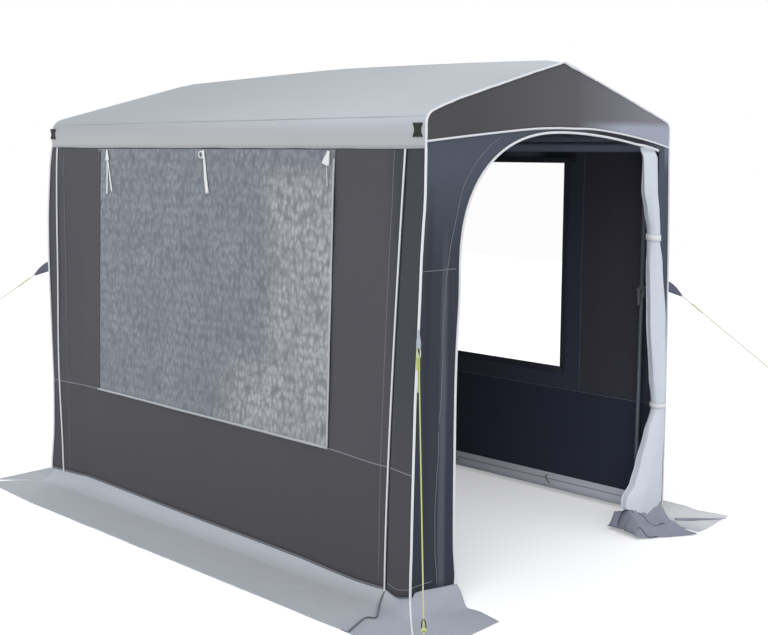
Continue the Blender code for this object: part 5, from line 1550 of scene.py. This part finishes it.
def curtain_point(z, k):
    x, y, half_x, half_y, pleat = curtain_section(z)
    turns = k / TURN_POINTS
    angle = 2 * math.pi * turns + 0.9
    inner_turn = turns >= 1
    shrink = 1.0 - inner_turn * (0.17 * (turns - 1) + 0.10 * smooth_step((turns - 1) / 0.2))
    depth = pleat * (2.3 if inner_turn else 0.20)
    swell = 1 + depth * math.cos(PLEATS * angle + 1.3 * z + 0.5 * rumple((0, 0, z), 0.5, 4))
    swell += 0.03 * rumple((math.cos(angle), math.sin(angle), z * 3), 0.7, 2.0)
    return Vector((x + half_x * shrink * swell * math.cos(angle),
                   y + half_y * shrink * swell * math.sin(angle), z))


top = CURTAIN_SECTIONS[0][0]
curtain_columns = []
for k in range(int(CURTAIN_TURNS * TURN_POINTS) + 1):
    ragged = 0.012 * max(0.0, 0.3 + rumple((k * 0.05, 0, 0), 0.6, 3.3))
    bottom = curve_at(curtain_point(0.10, k).x, FOOT_PLACES, FOOT_HEIGHTS) + ragged
    curtain_columns.append([curtain_point(z, k) for z in rising(top, bottom, 100)])
curtain_rows = [list(row) for row in zip(*curtain_columns)]
curtain = place_piece("gathered_door_curtain", grid_mesh("gathered_door_curtain", curtain_rows),
                      [curtain_cloth])
stand_for(curtain, "door_curtain", "curtain_cloth", flat=(1.52, 1.90), held="gathered", area=2.69,
          rests_on=["front_wall_cloth"])

# %% Tie the curtain
for word, z, tall in (("upper", 1.474, 0.030), ("lower", 0.620, 0.021)):
    x, y, half_x, half_y, pleat = curtain_section(z)
    loop = round_line(Vector((x, y, z)), Vector((half_x * 1.06 + 0.0022, 0, 0)),
                      Vector((0, half_y * 1.06 + 0.0022, 0.003)))
    tie = loop_band("curtain_tape_" + word, [loop], tall, UP, 0.0022)
    stand_for(tie, "curtain_tie_" + word, "white_tape")
    tip = loop[0] + Vector((0.012, -0.012, 0.004))
    piping("curtain_knot_" + word, [rising(loop[0], tip, 2)], 0.0055, tape_cloth,
           swell=lambda p: max(0.15, (tip - p).length / 0.018))

# %% [markdown]
# Under the curtain lies a crumpled piece of skirt. Crumpled cloth has sharp ridges and soft
# hollows, so its height comes from folded waves: the absolute value of a wave has a crease
# where the plain wave crosses zero.

# %% Crumple the curtain's skirt
BUNCH_CORNERS = ((0.553, -1.328), (0.885, -1.400), (0.795, -1.712), (0.512, -1.535))
CREST_PLACES, CREST_HEIGHTS = (0.50, 0.60, 0.70, 0.79, 0.87), (0.128, 0.096, 0.066, 0.078, 0.090)
CREST_Y = -1.452


def ridged(place):
    """A height that folds sharply where plain noise crosses zero."""
    return 1 - abs(2 * noise.noise(Vector(place)))


def bunch_point(u, v):
    a, b, c, d = [Vector((x, y, 0)) for x, y in BUNCH_CORNERS]
    point = a.lerp(b, u).lerp(d.lerp(c, u), v)
    rim = min(1.0, 14 * u * (1 - u)) * min(1.0, 7 * v * (1 - v))
    bend = 0.6 * rumple((u * 2, v * 2, 0), 0.9, 2.2)
    big = 1 - abs(math.sin(math.pi * (2.5 * v + 0.8 * u - 0.35 + 0.35 * bend)))
    height = 0.020 * big + 0.012 * ridged((u * 5.5, v * 5.5, 3.0)) * (0.4 + big)
    height += 0.004 * ridged((u * 12 + 5, v * 12, 9.0))
    behind = point.y - CREST_Y
    spread = 0.085 if behind < 0 else 0.075 + 0.105 * smooth_step((0.66 - point.x) / 0.12)
    height += curve_at(point.x, CREST_PLACES, CREST_HEIGHTS) * math.exp(-(behind / spread) ** 2)
    fringe = 0.012 * (1 - rim) * rumple((u * 6, v * 6, 0), 1.0, 7.0)
    slide = 0.012 * rim * rumple((u * 5, v * 5, 1), 1.0, 11.0)
    point += (point - (a + c) / 2).normalized() * fringe + Vector((slide, -slide * 0.6, 0))
    point.z = 0.0018 + height * (0.18 + 0.82 * rim)
    return point


bunch_rows = [[bunch_point(k / 72, i / 72) for k in range(73)] for i in range(73)]
bunch = cloth_panel("crumpled_curtain_skirt", bunch_rows, UP, [shaded_bunch_cloth], 0.0009)
stand_for(bunch, "door_curtain_skirt", "skirt_cloth", flat=(0.48, 0.36), held="laid", area=0.150)
# painted shade: dark lines laid in the crumpled bunch's creases
CREASE_SHADOW_LINES = (((0.02, 0.30), (0.10, 0.42), (0.13, 0.62)),
           ((0.24, 0.52), (0.36, 0.60), (0.50, 0.72), (0.56, 0.72)),
           ((0.58, 0.66), (0.66, 0.60), (0.74, 0.62)),
           ((0.06, 0.90), (0.20, 0.985), (0.34, 0.985)))
creases = [[bunch_point(*mark) + UP * 0.0004 for mark in even([Vector(stop) for stop in stops], 24)]
           for stops in CREASE_SHADOW_LINES]
piping("bunch_creases", creases, 0.0019, dark_fold)
# a low fold on the right skirt, in the darker bunch colour as painted shade on its shaded side
FOLD_START, FOLD_END = Vector((0.900, -1.520, 0.011)), Vector((1.100, -1.698, 0.011))
piping("right_skirt_fold", [rising(FOLD_START, FOLD_END, 20)], 0.0105, shaded_bunch_cloth,
       swell=lambda p: max(0.15, 1 - (p.x - FOLD_START.x) / 0.22))
print("creases", len(creases))

# %% [markdown]
# ## Ropes, patches and the slider
# The rope routes were laid out first. Now each becomes a braided tube. A ring of points is
# carried along the route, and its radius rises and falls with a twist, which leaves three
# strands. The same frame of two directions is carried from ring to ring, so nothing flips.

# %% Braid the ropes
def tube_along(route, radius, sides=10, spacing=0.004, strands=3, lay=0.016):
    fine = even(route, max(8, int(path_length(route) / spacing)))
    side = (fine[1] - fine[0]).orthogonal().normalized()
    rows = []
    for point, heading, run in zip(fine, headings(fine), runs(fine)):
        side = (side - heading * side.dot(heading)).normalized()
        other = heading.cross(side)
        row = []
        for angle in rising(0.0, 2 * math.pi, sides):
            swell = radius * (1 + 0.07 * math.cos(strands * angle + 2 * math.pi * run / lay))
            row.append(point + swell * (side * math.cos(angle) + other * math.sin(angle)))
        rows.append(row)
    return rows


def capped_tube(name, route, radius, finish):
    mesh = grid_mesh(name, tube_along(route, radius), closed=True)
    work = bmesh.new()
    work.from_mesh(mesh)
    bmesh.ops.holes_fill(work, edges=[e for e in work.edges if e.is_boundary], sides=0)
    bmesh.ops.recalc_face_normals(work, faces=work.faces)
    work.to_mesh(mesh)
    work.free()
    return place_piece(name, mesh, [finish])


ropes = {}
for word, place in CORNERS.items():
    if place in PEG_LOOPS:
        route, along = rope_route(*place)
        name = "guy_rope_" + word
        # the other ropes take the braid painted paler as sunlit
        rope = capped_tube(name + "_braid", route, ROPE_RADIUS,
                           rope_braid if word == "front_left" else lit_braid)
        stand_for(rope, name, "lime_rope")
        ropes[word] = (rope, route, along)

# %% Make the rope slider
route, slide_along = ropes["front_left"][1:]
slide_centre = Vector(PEG_LOOPS[(-1, -1)]) - slide_along * 0.090
flat_way = slide_along.cross(Vector((-0.71, -0.65, 0.40))).normalized()
thin_way = slide_along.cross(flat_way).normalized()


def oval_ring(name, centre, long_way, wide_way, thick, finish, body):
    """A ring of round rod. Its two ways give its directions and its half sizes."""
    loop = round_line(centre, long_way, wide_way)
    face = long_way.cross(wide_way).normalized()
    rows = []
    for k, point in enumerate(loop[:-1] + [loop[0]]):
        heading = (loop[(k + 1) % 40] - loop[(k - 1) % 40]).normalized()
        out = heading.cross(face).normalized()
        rows.append(round_line(point, out * thick, face * thick * 1.25, 12))
    return place_piece(name, grid_mesh(name, rows, closed=True), [finish], body)


slider = oval_ring("rope_slider_ring", slide_centre, slide_along * 0.0225, flat_way * 0.0070,
                   0.0022, olive_plastic, "line_adjuster")
stand_for(slider, "rope_adjuster", "black_plastic")
turns_of_wrap = [round_line(slide_centre + slide_along * shift, flat_way * 0.0060,
                            thin_way * 0.0050, 16) for shift in (0.012, 0.016, 0.020)]
wrap = piping("rope_slider_wrap", turns_of_wrap, 0.0024, rope_braid, "line_adjuster")

for word, (rope, route, along) in ropes.items():
    extra = [slider, wrap] if word == "front_left" else []
    path_length(route)
print("cords declared", len(ropes))

# %% Hitch the ropes to the patches
HITCHES = {"front_left": (0.012, 0.085, 0.0062, 0.0027, 0.004),
           "front_right": (0.062, 0.140, 0.0036, 0.0019, 0.0),
           "rear_left": (0.030, 0.110, 0.0036, 0.0019, 0.0)}
HITCH_PITCH = 0.011
FRONT_LEFT_WAY = Vector((-1, -1, 0))
for word, (first, last, wide, thick, aside) in HITCHES.items():
    rope, route, along = ropes[word]
    side_way = along.cross(UP).normalized()
    beside = along.cross(FRONT_LEFT_WAY).normalized() * aside
    hitch = []
    for k, run in enumerate(rising(first, last, 60)):
        angle = 2 * math.pi * k / 60 * (last - first) / HITCH_PITCH
        hitch.append(route[0] + along * run + beside + wide * (side_way * math.cos(angle)
                     + along.cross(side_way) * math.sin(angle)))
    piping("guy_hitch_" + word, [hitch], thick, rope_braid)
route, along = ropes["front_left"][1:]
hook_top = route[0] - along * 0.004
hook_side = along.cross(FRONT_LEFT_WAY).normalized()
hook_out = FRONT_LEFT_WAY * 0.010 + hook_side * 0.002
hook_line = [hook_top + hook_out + UP * rise for rise in rising(0.100, 0.028, 20)]
piping("rope_hook_front_left", [hook_line], 0.0100, silver,
       swell=lambda p: 1 - 0.62 * smooth_step((p.z - hook_top.z - 0.045) / 0.05))
oval_ring("rope_hook_loop", hook_top + hook_out * 0.9 + UP * 0.006, UP * 0.024,
          hook_side * 0.0074, 0.0026, lit_braid, "root")
tail = [route[0] + along * run + hook_side * 0.0062 for run in rising(0.080, 0.200, 20)]
piping("rope_tail_front_left", [tail], 0.0024, lit_braid)
print("hitches", len(HITCHES))

# %% [markdown]
# Each rope is tied to a patch of grey webbing, folded to a triangle and sewn to the corner
# piping. Two flat leaves that meet in a rounded fold, with a rim of stitches, make the patch.

# %% Sew the webbing patches
PATCH_HEIGHT, TIP_HALF = 0.056, 0.0058


def patch_leaf(side, end, flat):
    """One leaf of a patch, which stands a little away from the other one."""
    base, tip, outward = patch_tip(side, end)
    low, high = [corner(side, end, base.z + half) + outward * 0.0008
                 for half in (-PATCH_HEIGHT / 2, PATCH_HEIGHT / 2)]
    rows = []
    for t in rising(0.0, 1.0, 12):
        lower = low.lerp(tip - UP * TIP_HALF, t)
        upper = high.lerp(tip + UP * TIP_HALF, t) + UP * 0.044 * t * (1 - t)
        row = []
        for s in rising(0.0, 1.0, 8):
            arch = max(math.sin(math.pi * s), 0.0)
            open_by = (0.0016 + 0.00132 * arch * (1 - t)) * (0.25 + 0.75 * arch ** 0.5)
            row.append(lower.lerp(upper, s) + flat * open_by)
        rows.append(row)
    return rows


for word, (side, end) in CORNERS.items():
    base, tip, outward = patch_tip(side, end)
    flat = Vector((-outward.y, outward.x, 0))
    leaves, rim = [], []
    for letter, hand in (("a", -1), ("b", 1)):
        rows = patch_leaf(side, end, flat * hand)
        leaves.append(cloth_panel(f"guy_patch_leaf_{word}_{letter}", rows, flat * hand,
                                  [webbing_cloth], 0.0011))
        rim += [[row[k].lerp(row[k + 1], 0.5) + flat * hand * 0.0008 for row in rows]
                for k in (7, 0)]
    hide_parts("guy_patch_" + word)
    piping("guy_patch_stitch_" + word, rim, 0.0007, dark_thread)
    if word in ropes:
        knot_centre = tip + UP * 0.001 + outward * 0.0005
        knot = round_line(knot_centre, outward * 0.0045, UP * 0.00405, 16)
        piping("guy_knot_" + word, [knot], 0.0018,
               rope_braid if word == "front_left" else lit_braid)
print("patches", len(CORNERS))

# %% [markdown]
# ## Clips at the eaves
# A black hourglass clip holds the valance at each corner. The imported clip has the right
# outline, so it stays, and two raised ribs are added on it.

# %% Dress the eave clips
CLIP_Z = VALANCE_HEIGHT + 0.0745
CLIP_INSET = {-1: 0.042, 1: 0.014}
for word, (side, end) in CORNERS.items():
    x = side * (ROOF_HALF + FIT_GAP + 0.0040)
    y = end * (HALF_LENGTH - CLIP_INSET[end])
    rim = [[Vector((x, y + 0.0215 * math.cos(a), CLIP_Z + half * (0.0220 - 0.0105 * math.sin(a))))
            for a in rising(0.0, math.pi, 14)] for half in (-1, 1)]
    piping("eave_clip_ribs_" + word, rim, 0.0016, black_plastic)
print("clips", len(CORNERS))

# %% [markdown]
# ## The steel frame
# The tubes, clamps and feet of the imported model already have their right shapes, so they keep
# them and get real finishes: painted steel with rubbed places, zinc on the inner tubes, and
# moulded plastic. A finish is put in the place of each slot's plain colour.

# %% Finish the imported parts
HARD_PARTS = {"arch_tube": painted_steel, "ridge_pole": painted_steel, "eave_pole": painted_steel,
              "lower_leg": zinc_steel, "leg_foot": black_plastic, "leg_clamp": grey_plastic,
              "clamp_lever": grey_plastic, "ridge_joint": black_plastic,
              "eave_clip": black_plastic}
finished = 0
for item in bpy.data.objects:
    for first_words, finish in HARD_PARTS.items():
        if item.name in frame["nodes"] and item.name.startswith(first_words):
            for slot in item.material_slots:
                slot.material = finish
            finished += 1
print("packed parts finished", finished)

# %% [markdown]
# ## Floor and light
# The floor is a pale plane that takes the soft shade of the tent. The background is white only
# for rays that come from the camera, from a reflection or through the clear film, so it puts
# no light on the cloth. The sky gives an even light, and one broad sun from the front left
# gives a little direction.

# %% Lay the floor
FLOOR_HALF = 12.0
floor_mesh = grid_mesh("studio_floor", [[Vector((x * FLOOR_HALF, y * FLOOR_HALF, 0.0))
                                         for x in (-1, 0, 1)] for y in (-1, 0, 1)], UP)
floor = bpy.data.objects.new("studio_floor", floor_mesh)
bpy.context.scene.collection.objects.link(floor)
floor_paint = bpy.data.materials.new("floor_paint")
floor_paint.use_nodes = True
floor_mesh.materials.append(floor_paint)
floor_tree = floor_paint.node_tree
glow = node(floor_tree, "LightPath", output="Is Camera Ray") * 0.34
for label, value in {"Base Color": seen(244, 244, 246), "Roughness": 0.9,
                     "Specular IOR Level": 0.0, "Emission Color": (1, 1, 1, 1),
                     "Emission Strength": glow}.items():
    plug(value, floor_tree.nodes["Principled BSDF"].inputs[label])
print("floor", [round(x) for x in floor.dimensions])

# %% Light the scene
world = bpy.data.worlds.new("studio_sky")
world.use_nodes = True
bpy.context.scene.world = world
sky = world.node_tree
sky.nodes.clear()
straight, mirrored, passing = [node(sky, "LightPath", output=f"Is {kind} Ray")
                               for kind in ("Camera", "Glossy", "Transmission")]
seen_ray = straight.maths("MAXIMUM", mirrored).maths("MAXIMUM", passing)
soft = node(sky, "Background", {"Color": (0.97, 0.985, 1.0, 1), "Strength": 0.78})
white = node(sky, "Background", {"Color": (1, 1, 1, 1), "Strength": 1.0})
backdrop = node(sky, "MixShader", {0: seen_ray, 1: soft, 2: white})
plug(backdrop, sky.nodes.new("ShaderNodeOutputWorld").inputs[0])

sun_data = bpy.data.lights.new("broad_sun", "SUN")
sun_data.energy = 0.9
sun_data.angle = math.radians(50)
sun = bpy.data.objects.new("broad_sun", sun_data)
bpy.context.scene.collection.objects.link(sun)
sun.rotation_euler = Vector((0.75, 0.45, -1.0)).to_track_quat("-Z", "Y").to_euler()
print("sun", sun_data.energy)
